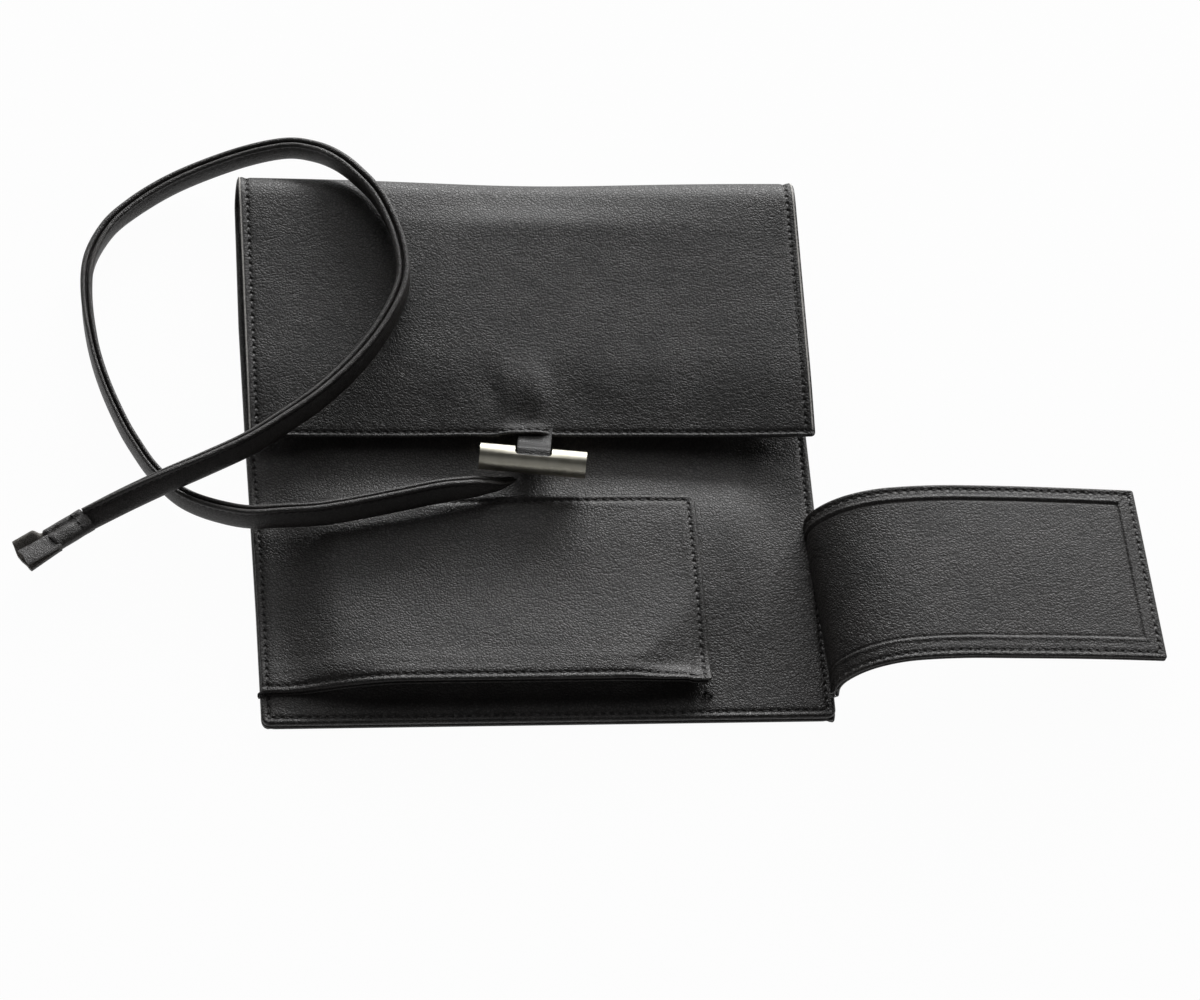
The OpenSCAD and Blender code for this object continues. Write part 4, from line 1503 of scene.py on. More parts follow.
@dataclass(frozen=True)
class Pocket:
    """The front pocket, whose mouth gapes towards the bottom of the pouch."""

    body: Body
    front: FrontPanel
    width: float = 141.5
    height: float = 70.7
    base: float = 11.0
    gape: float = 9.4
    gape_run: float = 45.0
    gape_left: float = 38.0
    gape_right: float = 6.0
    hem: float = 8.0
    edge_seam: float = 2.2

    @property
    def x0(self) -> float:
        """Left edge."""
        return -self.body.width / 2 + 0.5

    @property
    def x1(self) -> float:
        """Right edge."""
        return -self.body.width / 2 + self.width

    @property
    def y0(self) -> float:
        """Mouth."""
        return self.base - self.body.height / 2

    @property
    def y1(self) -> float:
        """Top edge."""
        return self.y0 + self.height

    def under(self, x: Array, y: Array) -> Array:
        """Height of the pocket's underside: down on its seams, raised at its mouth."""
        into = y - self.y0
        middle = self.body.band + self.body.rise + self.body.sheet
        raised = mix(middle, self.gape, smooth(1 - into / self.gape_run))
        rest = self.body.front(0 * x, y) + self.body.sheet
        left = x + self.body.width / 2 - self.body.seam_band
        free = smooth(np.minimum(left / self.gape_left, (self.x1 - 2.0 - x) / self.gape_right))
        corner = 0.8 * smooth(1 - into / 14) * (x > 0)
        lift = np.maximum(0, raised - rest) * np.maximum(free, corner)
        ground = self.front.face_plain(np.clip(x, -88.5, 88.5), y)
        hem = 0.25 * (1 - smooth((into - self.hem) / 4.0))
        return ground + 0.16 + lift + hem

    def edge(self, x: Array, y: Array) -> Array:
        """Distance to the nearest edge."""
        return np.minimum(np.minimum(x - self.x0, self.x1 - x),
                          np.minimum(y - self.y0, self.y1 - y))

    def _high(self, x: Array, y: Array) -> Array:
        wave = 0.22 * ripple(x, y, 48.0, 21) * smooth(self.edge(x, y) / 14)
        turned = 0.14 * (1 - smooth((self.edge(x, y) - 4.6) / 1.6))
        return self.under(x, y) + 0.95 + turned + wave

    def face(self, x: Array, y: Array) -> Array:
        """Height of the pocket's face."""
        plain = rounded(self._high(x, y), self.under(x, y), self.edge(x, y), 0.7)
        inner = np.minimum(np.minimum(self.x1 - x, y - self.y0), self.y1 - y)
        left = x + self.body.width / 2
        sewn = welt(inner, self.edge_seam, 0.32, 0.14) + welt(left, self.front.edge_seam, 0.3, 0.1)
        return plain + sewn

    def floor(self, x: Array, y: Array) -> Array:
        """Height of the pocket's underside, rounded at its edges."""
        return rounded(self.under(x, y), self._high(x, y), self.edge(x, y), 0.7)

    def seams(self) -> list[Seam]:
        """The rows of stitches on the pocket."""
        e = self.edge_seam
        left = -self.body.width / 2 + self.front.edge_seam
        return [
            Seam(Axis.ALONG, left, self.y0 + 1.4, self.y1 - 1.0),
            Seam(Axis.ACROSS, self.y1 - e, left + 2.0, self.x1 - e),
            Seam(Axis.ALONG, self.x1 - e, self.y0 + 1.4, self.y1 - e),
            Seam(Axis.ACROSS, self.y0 + e, left + 2.0, self.x1 - e - 2.0),
        ]

    def build(self, shop: Workshop) -> None:
        """Makes the pocket, its hem, its stitches and its tacks."""
        panel = Layer("pocket_leather", self.place, self.face, self.floor,
                      stations(self.x0, self.x1, 1.5), stations(self.y0, self.y1, 1.3))
        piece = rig.ride(panel.make(shop.leather.build(self.seams()), "leather_black"), "root")
        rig.replaces(piece, "pocket_panel")

        def hem_full(x: Array, y: Array) -> Array:
            """Half the hem's thickness."""
            return 0.27 * rim(np.minimum(y - self.y0 + 0.5, self.x1 - 1.0 - x), 0.4)

        def hem_top(x: Array, y: Array) -> Array:
            """The hem's face against the pocket."""
            return self.under(x, y) - 0.30 + hem_full(x, y)

        def hem_under(x: Array, y: Array) -> Array:
            """The hem's lower face."""
            return self.under(x, y) - 0.30 - hem_full(x, y)

        hem = Layer("pocket_hem_leather", self.place, hem_top, hem_under,
                    stations(self.x0 + 1.5, self.x1 - 1.0, 2.0),
                    stations(self.y0 - 0.5, self.y0 + self.hem, 2.0, True, False))
        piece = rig.ride(hem.make(shop.leather.build(), "leather_black"), "root")
        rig.replaces(piece, "pocket_hem")
        shop.sew("stitches", panel, self.seams(), [Zone("pocket", -1e3, 1e3, "root")], sink=0.10)
        self.tack(shop)

    def tack(self, shop: Workshop) -> None:
        """Makes the knots at the two ends of the mouth, as one piece."""
        left_loop = np.array([(-0.7, -0.6, -1.9), (-0.9, -0.4, -0.7), (0.6, 0.1, 0.1),
                              (2.4, 0.3, 0.05)])
        right_loop = np.array([(-1.5, 0.9, 0.1), (-0.8, 0.2, 0.75), (0.1, -0.1, 0.7),
                               (0.7, -0.3, -0.1)])
        left = self.x0 + self.body.lean(self.y0) - 0.1
        right, low = self.x1 + self.body.lean(self.y0) - 0.6, self.y0 - 2.6
        ground = float(self.front.face_plain(np.array(right), np.array(low)))
        z = float(self.face(np.array(self.x0 + 2.0), np.array(self.y0)))
        lines = []
        for aside in (0.0, 0.55):
            lines.append(left_loop + (left, self.y0 + aside, z))
            lines.append(right_loop + (right, low + aside, ground))
        piece = make_thread("mouth_knots", lines, 0.62, shop.thread, "root")
        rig.replaces(piece, "pocket_tacks")

    def place(self, x: Array, y: Array, z: Array) -> Array:
        """Points of the pocket, with its round corners on the right."""
        for far, sign, radius in ((self.y1 - y, -1, 2.4), (y - self.y0, 1, 1.1)):
            dx, dy = corner_shift(self.x1 - x, far, radius)
            x, y = x - dx, y + sign * dy
        return self.front.place(x, y, z)


# ---- Side flap ----


@dataclass(frozen=True)
class SideFlap:
    """The narrower flap sewn along the right edge: it curls up and lies out to the right."""

    body: Body
    width: float = 64.0
    length: float = 116.0
    flange: float = 3.0
    corner: float = 2.4
    root: float = 2.6
    bend_start: float = 0.9
    bend_end: float = 33.75
    ply: float = 1.05
    apart: float = 0.05
    turn: float = 4.6
    start: float = 7.0
    base_z: float = 4.9
    edge_seam: float = 2.0
    first_stitch: float = 7.0
    border_far: float = 5.4
    border_near: float = 7.4
    border_end: float = 6.3
    step: float = 0.22
    hinges: tuple[float, ...] = (0.026, 0.095, 0.168, 0.25)

    @property
    def end(self) -> float:
        """Length of the whole strip with its flange."""
        return self.flange + self.length

    @cached_property
    def path(self) -> BentPath:
        """The curl, seen along the root."""
        f, n = self.flange, self.length
        return BentPath(((0, 0), (f, 0), (f + self.corner, 88), (f + 0.08 * n, 50),
                         (f + 0.18 * n, 22), (f + 0.30 * n, 0), (f + 0.50 * n, -10),
                         (f + n, -12)))

    def place(self, v: Array, s: Array, offset: Array) -> Array:
        """Points of the flap.

        Args:
            v: Places along the root, from its lower end.
            s: Places along the curl.
            offset: Heights towards the face.

        Returns:
            The points.
        """
        for far in (v, self.width - v):
            dv, ds = corner_shift(far, self.end - s, 1.0)
            v, s = v + (dv if far is v else -dv), s - ds
        x, z = self.path.beside(s, offset)
        below = np.maximum(self.flange + self.corner - s, 0)
        top = self.path.beside(self.flange + self.corner + 0 * s, offset)
        x = np.where(below > 0, top[0], x) - self.flange
        z = np.where(below > 0, top[1] - below, z)
        a = math.radians(self.turn)
        x0, y0 = self.body.width / 2, self.start - self.body.height / 2
        far = smooth((s - 20) / 60)
        wave = 0.5 * far * ripple(v, s, 90.0, 31)
        return np.stack([x0 + x * math.cos(a) - v * math.sin(a),
                         y0 + x * math.sin(a) + v * math.cos(a), self.base_z + z + wave], -1)

    def point(self, s: float) -> Point:
        """Point on the strip's middle line at length s."""
        p = self.place(np.array(self.width / 2), np.array(s), np.array(0.0))
        return float(p[0]), float(p[1]), float(p[2])

    def zones(self) -> list[Zone]:
        """The four stretches of the flap, cut between its hinges."""
        bodies = ("root", "side_1", "side_2", "side_3", "side_flap")
        hinges = [self.flange + share * self.length for share in self.hinges]
        between = [(a + b) / 2 for a, b in zip(hinges, hinges[1:])]
        cuts = [self.flange + self.bend_start, *between, self.flange + self.bend_end]
        return bending_zones(bodies, cuts, self.root, self.end, self.point)

    def edge(self, v: Array, s: Array) -> Array:
        """Distance to the nearest finished edge."""
        return np.minimum(np.minimum(v, self.width - v), self.end - s)

    def relief(self, v: Array, s: Array) -> Array:
        """The raised border and the sunk window inside it."""
        inside = np.minimum(np.minimum(v - self.border_near, self.width - self.border_far - v),
                            self.end - self.border_end - s)
        pucker = 0.5 + 0.5 * ripple(v, s, 9.0, 17)
        groove = 0.22 * hump(inside - 0.35, 0.42) + 0.14 * pucker * hump(inside + 2.0, 0.7)
        roll = 0.16 * hump(inside + 0.7, 0.55)
        mitre = abs((self.width - v) - (self.end - s))
        crease = 0.22 * hump(mitre, 0.45) * (self.edge(v, s) < self.border_end) \
            * (np.maximum(self.width - v, self.end - s) < self.border_end + 1)
        second = 0.14 * hump(self.end - s - 3.6, 0.4) * (inside < 0)
        return -self.step * smooth(inside / 0.8 + 0.5) - groove + roll - crease - second

    def face(self, v: Array, s: Array) -> Array:
        """Height of the facing's face."""
        d = self.edge(v, s)
        relief = self.relief(v, s) + welt(d, self.edge_seam, 0.2, 0.1)
        return rounded(self.ply, self.apart, d, 0.6) + relief * smooth(d / 0.6)

    def facing_floor(self, v: Array, s: Array) -> Array:
        """Height of the facing's underside."""
        plain = rounded(self.apart, self.ply, self.edge(v, s), 0.6)
        return plain + np.clip(self.relief(v, s), -0.02, 0)

    def backing_top(self, v: Array, s: Array) -> Array:
        """Height of the backing's inner side."""
        return rounded(-0.03, -self.ply, self.edge(v, s), 0.6)

    def back(self, v: Array, s: Array) -> Array:
        """Height of the backing's outer side."""
        d = self.edge(v, s)
        relief = welt(d, self.edge_seam, 0.2, 0.1) * smooth(d / 0.6)
        return rounded(-self.ply, -0.03, d, 0.6) - relief

    def seams(self) -> list[Seam]:
        """The rows of stitches round three sides."""
        e = self.edge_seam
        return [
            Seam(Axis.ALONG, e, self.first_stitch, self.end - e),
            Seam(Axis.ALONG, self.width - e, self.first_stitch, self.end - e),
            Seam(Axis.ACROSS, self.end - e, e, self.width - e),
        ]

    def build(self, shop: Workshop) -> None:
        """Makes the facing, the backing and the stitches of both faces."""
        finish = shop.leather.build(self.seams())
        facings = (("side_root",), ("side_bend_1",), ("side_bend_2", "side_bend_3"),
                   ("side_facing", "side_allowance"))
        across = self.across()
        for k, zone in enumerate(self.zones()):
            along = self.along(zone, k)
            facing = Layer(f"side_facing_leather_{zone.name}", self.place, self.face,
                           self.facing_floor, across, along)
            piece = facing.make(finish, "leather_black")
            zone.hold(piece)
            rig.replaces(piece, *facings[k])
            backing = Layer(f"side_backing_leather_{zone.name}", self.place, self.backing_top,
                            self.back, across, along)
            piece = backing.make(finish, "leather_black")
            zone.hold(piece)
            if k == 3:
                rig.replaces(piece, "side_backing")
        face = Layer("side_face", self.place, self.face, self.back, across, across)
        shop.sew("side_stitches", face, self.seams(), self.zones(), 0.08, 1.7, 0.5)
        reverse = Layer("side_back", self.place, self.back, self.face, across, across)
        shop.sew("side_back_stitches", reverse, self.seams(), self.zones(), -0.08, 1.7, 0.5)
        self.tack(shop)

    def tack(self, shop: Workshop) -> None:
        """Makes the loose thread curl at the root's lower corner and a knot at its upper one."""
        curl = [(1.0, 3.0, 1.3), (0.3, 4.4, 1.9), (-0.7, 5.8, 1.7), (-0.9, 7.0, 0.8),
                (-0.2, 7.6, 0.2)]
        twin = [(0.4, 2.9, 1.5), (-0.6, 3.6, 1.2), (-1.1, 4.6, 0.3), (-0.5, 5.2, -0.6)]
        w = self.width
        knot = [(w - 1.6, 3.4, 1.2), (w - 0.6, 4.0, 1.5), (w + 0.3, 4.2, 0.6), (w + 0.2, 4.0, -0.8)]
        lines = [self.place(*np.array(line, float).T) for line in (curl, twin, knot)]
        piece = make_thread("root_threads", lines, 0.42, shop.pale_thread, "root")
        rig.replaces(piece, "side_tacks")

    def across(self) -> Array:
        """Places across the flap, closer together at the border's step."""
        near, far = self.border_near + STEP_MARKS, self.width - self.border_far - STEP_MARKS
        return thinned(np.concatenate([stations(0, self.width, 1.4), near, far]))

    def along(self, zone: Zone, k: int) -> Array:
        """Places along one stretch of the flap."""
        base = stations(zone.lo, zone.hi, 1.4 if k == 3 else 0.5, False, k == 3)
        if k < 3:
            return base
        return thinned(np.concatenate([base, self.end - self.border_end - STEP_MARKS]))


# ---- Toggle and its loop ----


@dataclass(frozen=True)
class Toggle:
    """The slotted metal tube with a plug in each end, and the leather loop round its pin."""

    middle: Point = (-0.3, -11.2, 13.55)
    turn: float = -7.0
    length: float = 34.0
    diameter: float = 8.5
    wall: float = 0.8
    slot_length: float = 11.9
    slot_tilt: float = 14.0
    slot_floor: float = 0.2
    slot_corner: float = 1.6
    loop_width: float = 10.9
    loop_ply: float = 0.8
    loop_reach: float = 12.0
    loop_bend: tuple[tuple[float, float], ...] = ((3.0, 0.8), (4.8, -0.5), (6.6, -2.4), (9.2, -4.3))
    tail: float = 17.0
    eye: float = 1.36
    tail_z: float = 8.2

    def local(self, along: Array, back: Array, up: Array) -> Array:
        """Points given along the toggle, towards the fold, and up from its middle."""
        a = math.radians(self.turn)
        return np.stack([self.middle[0] + along * math.cos(a) - back * math.sin(a),
                         self.middle[1] + along * math.sin(a) + back * math.cos(a),
                         self.middle[2] + up + 0 * along], -1)

    def loop_line(self) -> Array:
        """Middle line of the loop's leather, towards the fold and up, round the pin."""
        r = self.eye + self.loop_ply / 2 + 0.04
        drop = self.tail_z - self.middle[2]
        half = self.loop_ply / 2 + 0.03
        reach = self.loop_reach
        end = reach + self.tail
        angle = math.atan2(-drop, reach)
        top = [(end, drop + half), (reach + 5, drop + half), (reach + 1.4, drop + half + 0.12)]
        low = [(reach + 1.4, drop - half + 0.06), (reach + 5, drop - half), (end, drop - half)]
        a0, a1 = math.radians(78) - angle, math.radians(282) - angle
        ring = [(r * math.cos(a), r * math.sin(a)) for a in np.linspace(a0, a1, 17)]
        up = (math.sin(angle), math.cos(angle))

        def ply(side: float) -> list[tuple[float, float]]:
            """Points of one ply between the ring and the bend."""
            found = []
            for back, rise in self.loop_bend:
                w = side * mix(half * 1.9, half, smooth((back - self.loop_bend[0][0]) / 4.0))
                found.append((back + up[0] * w, rise + up[1] * w))
            return found

        line = [*top, *ply(1)[::-1], *ring, *ply(-1), *low]
        flat = [(y, z, 0.0) for y, z in line]
        return along_curve(flat, 0.45)[:, :2]

    def loop_rings(self) -> tuple[Array, Array]:
        """Rings of the loop's strip and their places on the leather."""
        line = self.loop_line()
        ahead = unit(np.gradient(line, axis=0))
        off = np.stack([-ahead[:, 1], ahead[:, 0]], 1)
        half, t = self.loop_width / 2, self.loop_ply / 2
        corner = 0.32
        marks = [2.0, half - 1.6, half - corner, half - corner * 0.3]
        upper = [(x, t * (0.75 if x == marks[-1] else 1.0)) for x in marks]
        right = np.array([*upper, (half, 0.0)])
        shape = np.concatenate([[(-half, 0.0)], right[-2::-1] * [-1, 1], right,
                                right[-2::-1] * [1, -1], -right[:-1]])
        rings, places = [], []
        for p, n, s in zip(line, off, lengths_along(line)):
            y = p[0] + n[0] * shape[:, 1]
            z = p[1] + n[1] * shape[:, 1]
            rings.append(self.local(shape[:, 0], y, z))
            places.append(np.stack([shape[:, 0], np.full(len(shape), s)], 1))
        return np.array(rings), np.array(places)

    def build_loop(self, shop: Workshop) -> None:
        """Makes the loop, bent between the pouch and the toggle."""
        rings, places = self.loop_rings()
        piece = make_tube("loop_leather", rings, places)
        # The loop wears a darker copy of the strap's leather: painted shade, so that the loop reads dark under the
        # flap's edge.
        dress(piece, replace(shop.strap_leather, name="loop_leather", roughness=0.44,
                             colour=(0.005, 0.0046, 0.0044),
                             light=(0.012, 0.011, 0.0105)).build(), "leather_black")
        start = self.local(np.array(0.0), np.array(self.loop_reach + 2.2),
                           np.array(self.tail_z - self.middle[2]))
        end = self.local(np.array(0.0), np.array(self.loop_reach - 2.6),
                         np.array((self.tail_z - self.middle[2]) * 0.85))
        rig.blend(piece, "root", "loop", start=tuple(start * MM), end=tuple(end * MM))
        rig.replaces(piece, "loop_tail", "loop_eye")

    def build_tube(self, shop: Workshop) -> None:
        """Makes the slotted tube with Geometry Nodes, then breaks its edges."""
        tree = ToggleTree()
        piece = tree.make("toggle_barrel", {
            "Length": self.length * MM, "Diameter": self.diameter * MM, "Wall": self.wall * MM,
            "Slot length": self.slot_length * MM, "Slot corner": self.slot_corner * MM,
            "Slot floor": self.slot_floor * MM, "Slot tilt": math.radians(self.slot_tilt),
            "Metal": shop.metal,
        })
        bevel = piece.modifiers.new("edges", "BEVEL")
        bevel.width, bevel.segments = 0.16 * MM, 3
        bevel.limit_method, bevel.angle_limit = "ANGLE", math.radians(38)
        mesh = applied(piece)
        piece.modifiers.clear()
        piece.data = mesh
        mesh.transform(self.matrix())
        mesh.polygons.foreach_set("use_smooth", np.ones(len(mesh.polygons), bool))
        mesh.set_sharp_from_angle(angle=math.radians(32))
        dress(piece, shop.metal, "toggle_steel")
        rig.ride(piece, "toggle")
        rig.replaces(piece, "toggle_tube")

    def matrix(self) -> Matrix:
        """Carries a shape made along X at the origin to the toggle's place."""
        return Matrix.Translation(Vector(self.middle) * MM) @ Matrix.Rotation(
            math.radians(self.turn), 4, "Z")

    def build(self, shop: Workshop) -> None:
        """Makes the loop and the tube, and gives the pin and the plugs the metal."""
        self.build_loop(shop)
        self.build_tube(shop)
        for name in ("toggle_pin", "toggle_plug_left", "toggle_plug_right"):
            node = frame["nodes"][name]
            node.data.materials.clear()
            node.data.materials.append(shop.metal)


class ToggleTree(GeometryTree):
    """A Geometry Nodes tree that bores a tube and mills its slot."""

    def __init__(self) -> None:
        """Builds the tree with its named inputs."""
        sizes = ("Length", "Diameter", "Wall", "Slot length", "Slot corner", "Slot floor",
                 "Slot tilt")
        super().__init__("slotted_tube", dict.fromkeys(sizes, "Float") | {"Metal": "Material"},
                         "Tube")
        self._wire()

    def _sum(self, operation: str, a: Any, b: Any) -> NodeSocket:
        return self._add("ShaderNodeMath", {"operation": operation}, {0: a, 1: b}).outputs[0]

    def _rod(self, radius: Any, depth: Any) -> NodeSocket:
        rod = self._add("GeometryNodeMeshCylinder",
                        inputs={"Vertices": 96, "Radius": radius, "Depth": depth}).outputs["Mesh"]
        return self._add("GeometryNodeTransform", inputs={
            "Geometry": rod, "Rotation": (0, math.pi / 2, 0)}).outputs[0]

    def _wire(self) -> None:
        given = self.given
        radius = self._sum("MULTIPLY", given["Diameter"], 0.5)
        bore = self._sum("SUBTRACT", radius, given["Wall"])
        outside = self._rod(radius, given["Length"])
        inside = self._rod(bore, self._sum("ADD", given["Length"], 0.002))
        outline = self._add("GeometryNodeCurvePrimitiveQuadrilateral", inputs={
            "Width": given["Slot length"], "Height": given["Diameter"]}).outputs[0]
        outline = self._add("GeometryNodeFilletCurve", {"mode": "POLY"}, {
            "Curve": outline, "Count": 7, "Radius": given["Slot corner"],
            "Limit Radius": True}).outputs[0]
        rail = self._add("GeometryNodeCurvePrimitiveLine", inputs={
            "Start": (0, 0, -0.02), "End": (0, 0, 0.02)}).outputs[0]
        cutter = self._add("GeometryNodeCurveToMesh", inputs={
            "Curve": rail, "Profile Curve": outline, "Fill Caps": True}).outputs[0]
        rise = self._sum("ADD", radius, given["Slot floor"])
        shift = self._add("ShaderNodeCombineXYZ", inputs={"Y": rise}).outputs[0]
        cutter = self._add("GeometryNodeTransform", inputs={
            "Geometry": cutter, "Translation": shift}).outputs[0]
        tilt = self._add("ShaderNodeCombineXYZ", inputs={"X": given["Slot tilt"]}).outputs[0]
        cutter = self._add("GeometryNodeTransform", inputs={
            "Geometry": cutter, "Rotation": tilt}).outputs[0]
        cut = self._add("GeometryNodeMeshBoolean", {"operation": "DIFFERENCE", "solver": "EXACT"},
                        {0: outside, 1: [inside, cutter]}).outputs["Mesh"]
        whole = self._add("GeometryNodeMergeByDistance",
                          inputs={"Geometry": cut, "Distance": 1e-6}).outputs[0]
        self._end(whole, "Metal", "Tube")

    def make(self, name: str, sizes: dict[str, Any]) -> Object:
        """Makes the tube at the origin, along X.

        Args:
            name: Name of the piece.
            sizes: A value for each named input.

        Returns:
            The tube's object, as a plain mesh.
        """
        obj = linked(name, bpy.data.meshes.new(name))
        obj.data = self.run(obj, sizes)
        return obj


# ---- Strap and its end tab ----


@dataclass(frozen=True)
class Strap:
    """The folded and stitched leather band, and the split tab on its end."""

    height: float = 7.8
    thickness: float = 3.4
    step: float = 1.3
    route: tuple[Point, ...] = (
        (-6, -15, 8.7), (-11, -17.5, 9.6), (-17, -19.5, 11.5), (-30, -22, 12.4),
        (-43, -25, 12.6), (-56, -28, 12.8), (-68, -30, 12.6), (-80, -30, 11.6),
        (-91, -29, 9.6), (-101, -24.8, 6.8), (-109.5, -19.8, 4.9), (-115.5, -14.6, 4.4),
        (-121.3, -7, 4.2), (-125.7, 0.9, 4), (-130.3, 10.6, 4), (-135.8, 26.1, 4),
        (-139.4, 41.7, 4), (-141, 59.4, 4), (-139.6, 74, 4), (-133.8, 86.4, 4),
        (-126, 94.6, 4.2), (-115, 102.2, 5.2), (-103, 107.9, 6.4), (-88, 112.2, 9),
        (-75, 113, 12), (-66, 109.4, 15), (-59.2, 103.8, 17.8), (-53, 97, 19),
        (-46, 87, 19.3), (-40.7, 72.8, 19), (-38.7, 59.7, 18.4), (-40.6, 49.3, 17.9),
        (-47.1, 36, 17.2), (-56, 23.7, 16.5), (-67, 12.5, 15.9), (-78, 3.9, 15.4),
        (-90, -4.1, 14.4), (-104, -10.9, 13.3), (-116, -16, 12), (-129, -21, 9),
        (-142, -26.2, 5.4),
    )
    leans: tuple[tuple[float, float], ...] = (
        (0, -20), (0.03, -28), (0.12, -30), (0.2, -14), (0.25, -5), (0.36, -6), (0.42, 2),
        (0.48, 12), (0.54, 10), (0.62, 4), (0.7, -6), (0.8, -24), (0.92, -36), (1.0, -60),
    )

    root_marks: tuple[float, ...] = (0, 3, 8, 14, 24)
    root_widths: tuple[float, ...] = (0.5, 1.0, 1.22, 1.1, 1.0)
    root_heights: tuple[float, ...] = (0.12, 0.25, 0.55, 0.85, 1.0)

    @cached_property
    def line(self) -> Array:
        """The strap's centreline, in even steps."""
        return along_curve(self.route, self.step)

    def outline(self) -> Array:
        """Half widths and heights from the groove between the lips down to the full fold."""
        t, h = self.thickness / 2, self.height / 2
        return np.array([
            (0.10, 0.60), (0.18, 0.76), (0.24, 0.90), (0.42, 0.985), (0.76, 1.0), (1.02, 0.95),
            (1.22, 0.87), (1.26, 0.77), (1.14, 0.68), (0.95, 0.61), (0.80, 0.53), (0.84, 0.44),
            (0.96, 0.26), (1.0, 0.04), (1.0, -0.24), (0.95, -0.50), (0.80, -0.75),
            (0.50, -0.93), (0.20, -0.995),
        ]) * [t, h]

    def frames(self) -> tuple[Array, Array]:
        """Sideways and upward vectors at each point of the line."""
        ahead = unit(np.gradient(self.line, axis=0))
        side = unit(np.cross(ahead, [0, 0, 1.0]))
        return side, np.cross(side, ahead)

    def lengths(self) -> Array:
        """Length along the line at each point."""
        return lengths_along(self.line)

    def rings(self) -> tuple[Array, Array]:
        """Rings of the strap's skin and their places on the leather."""
        half = self.outline()
        shape = np.concatenate([half, half[::-1] * [-1, 1]])
        side, up = self.frames()
        s = self.lengths()
        share = s / s[-1]
        pressed = np.interp(share, [0.20, 0.25, 0.35, 0.42], [1.0, 0.76, 0.74, 1.0])
        flat_w = np.interp(s, self.root_marks, self.root_widths) * pressed
        flat_h = np.interp(s, self.root_marks, self.root_heights)
        lean = np.radians(np.interp(share, *np.array(self.leans).T))
        around = lengths_along(shape)
        rings, places = [], []
        for k, p in enumerate(self.line):
            w, h = shape[:, 0] * flat_w[k], shape[:, 1] * flat_h[k]
            c, d = math.cos(lean[k]), math.sin(lean[k])
            a, b = w * c - h * d, w * d + h * c
            rings.append(p + side[k] * a[:, None] + up[k] * b[:, None])
            places.append(np.stack([around, np.full(len(shape), s[k])], 1))
        return np.array(rings), np.array(places)

    def stitch_rows(self) -> list[tuple[Array, Array]]:
        """The rows of stitches in the neck on both sides of the strap."""
        rings, _ = self.rings()
        sewn, neck = rings[14:-2], 10
        middle = (sewn[:, neck] + sewn[:, -1 - neck]) / 2
        rows = []
        for spots in (sewn[:, neck], sewn[:, -1 - neck]):
            outward = unit(spots - middle)
            rows.append((spots + outward * 0.02, outward))
        return rows

    def build(self, shop: Workshop) -> None:
        """Makes the strap, its stitches and its tab."""
        rings, places = self.rings()
        band = make_tube("strap_band", rings, places, 70.0)
        dress(band, shop.strap_leather.build(), "strap_leather")
        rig.ride(band, "root")
        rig.replaces(band, "strap", "strap_anchor")
        stitches = shop.stitches.sew("strap_stitches", self.stitch_rows(), shop.thread, 2.3,
                                     1.65, 0.5, 6.0, 5)
        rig.slot(stitches, "thread_black")
        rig.ride(stitches, "root")
        pieces = [stitches, *Tab(self).build(shop)]
        drop = dict(axis=(0, 0, 1), anchor=(0, 0, 6.5 * MM), keep=0.42)
        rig.squash(band, "flap_open", **drop)
        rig.squash(stitches, "flap_open", **drop)
        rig.cord(band, exit=tuple(v * MM for v in self.route[0]), length=self.lengths()[-1] * MM,
                diameter=self.height * MM, far_end="fitting", stiffness="limp", lay="loose",
                path=(self.line * MM).tolist(), with_pieces=pieces)


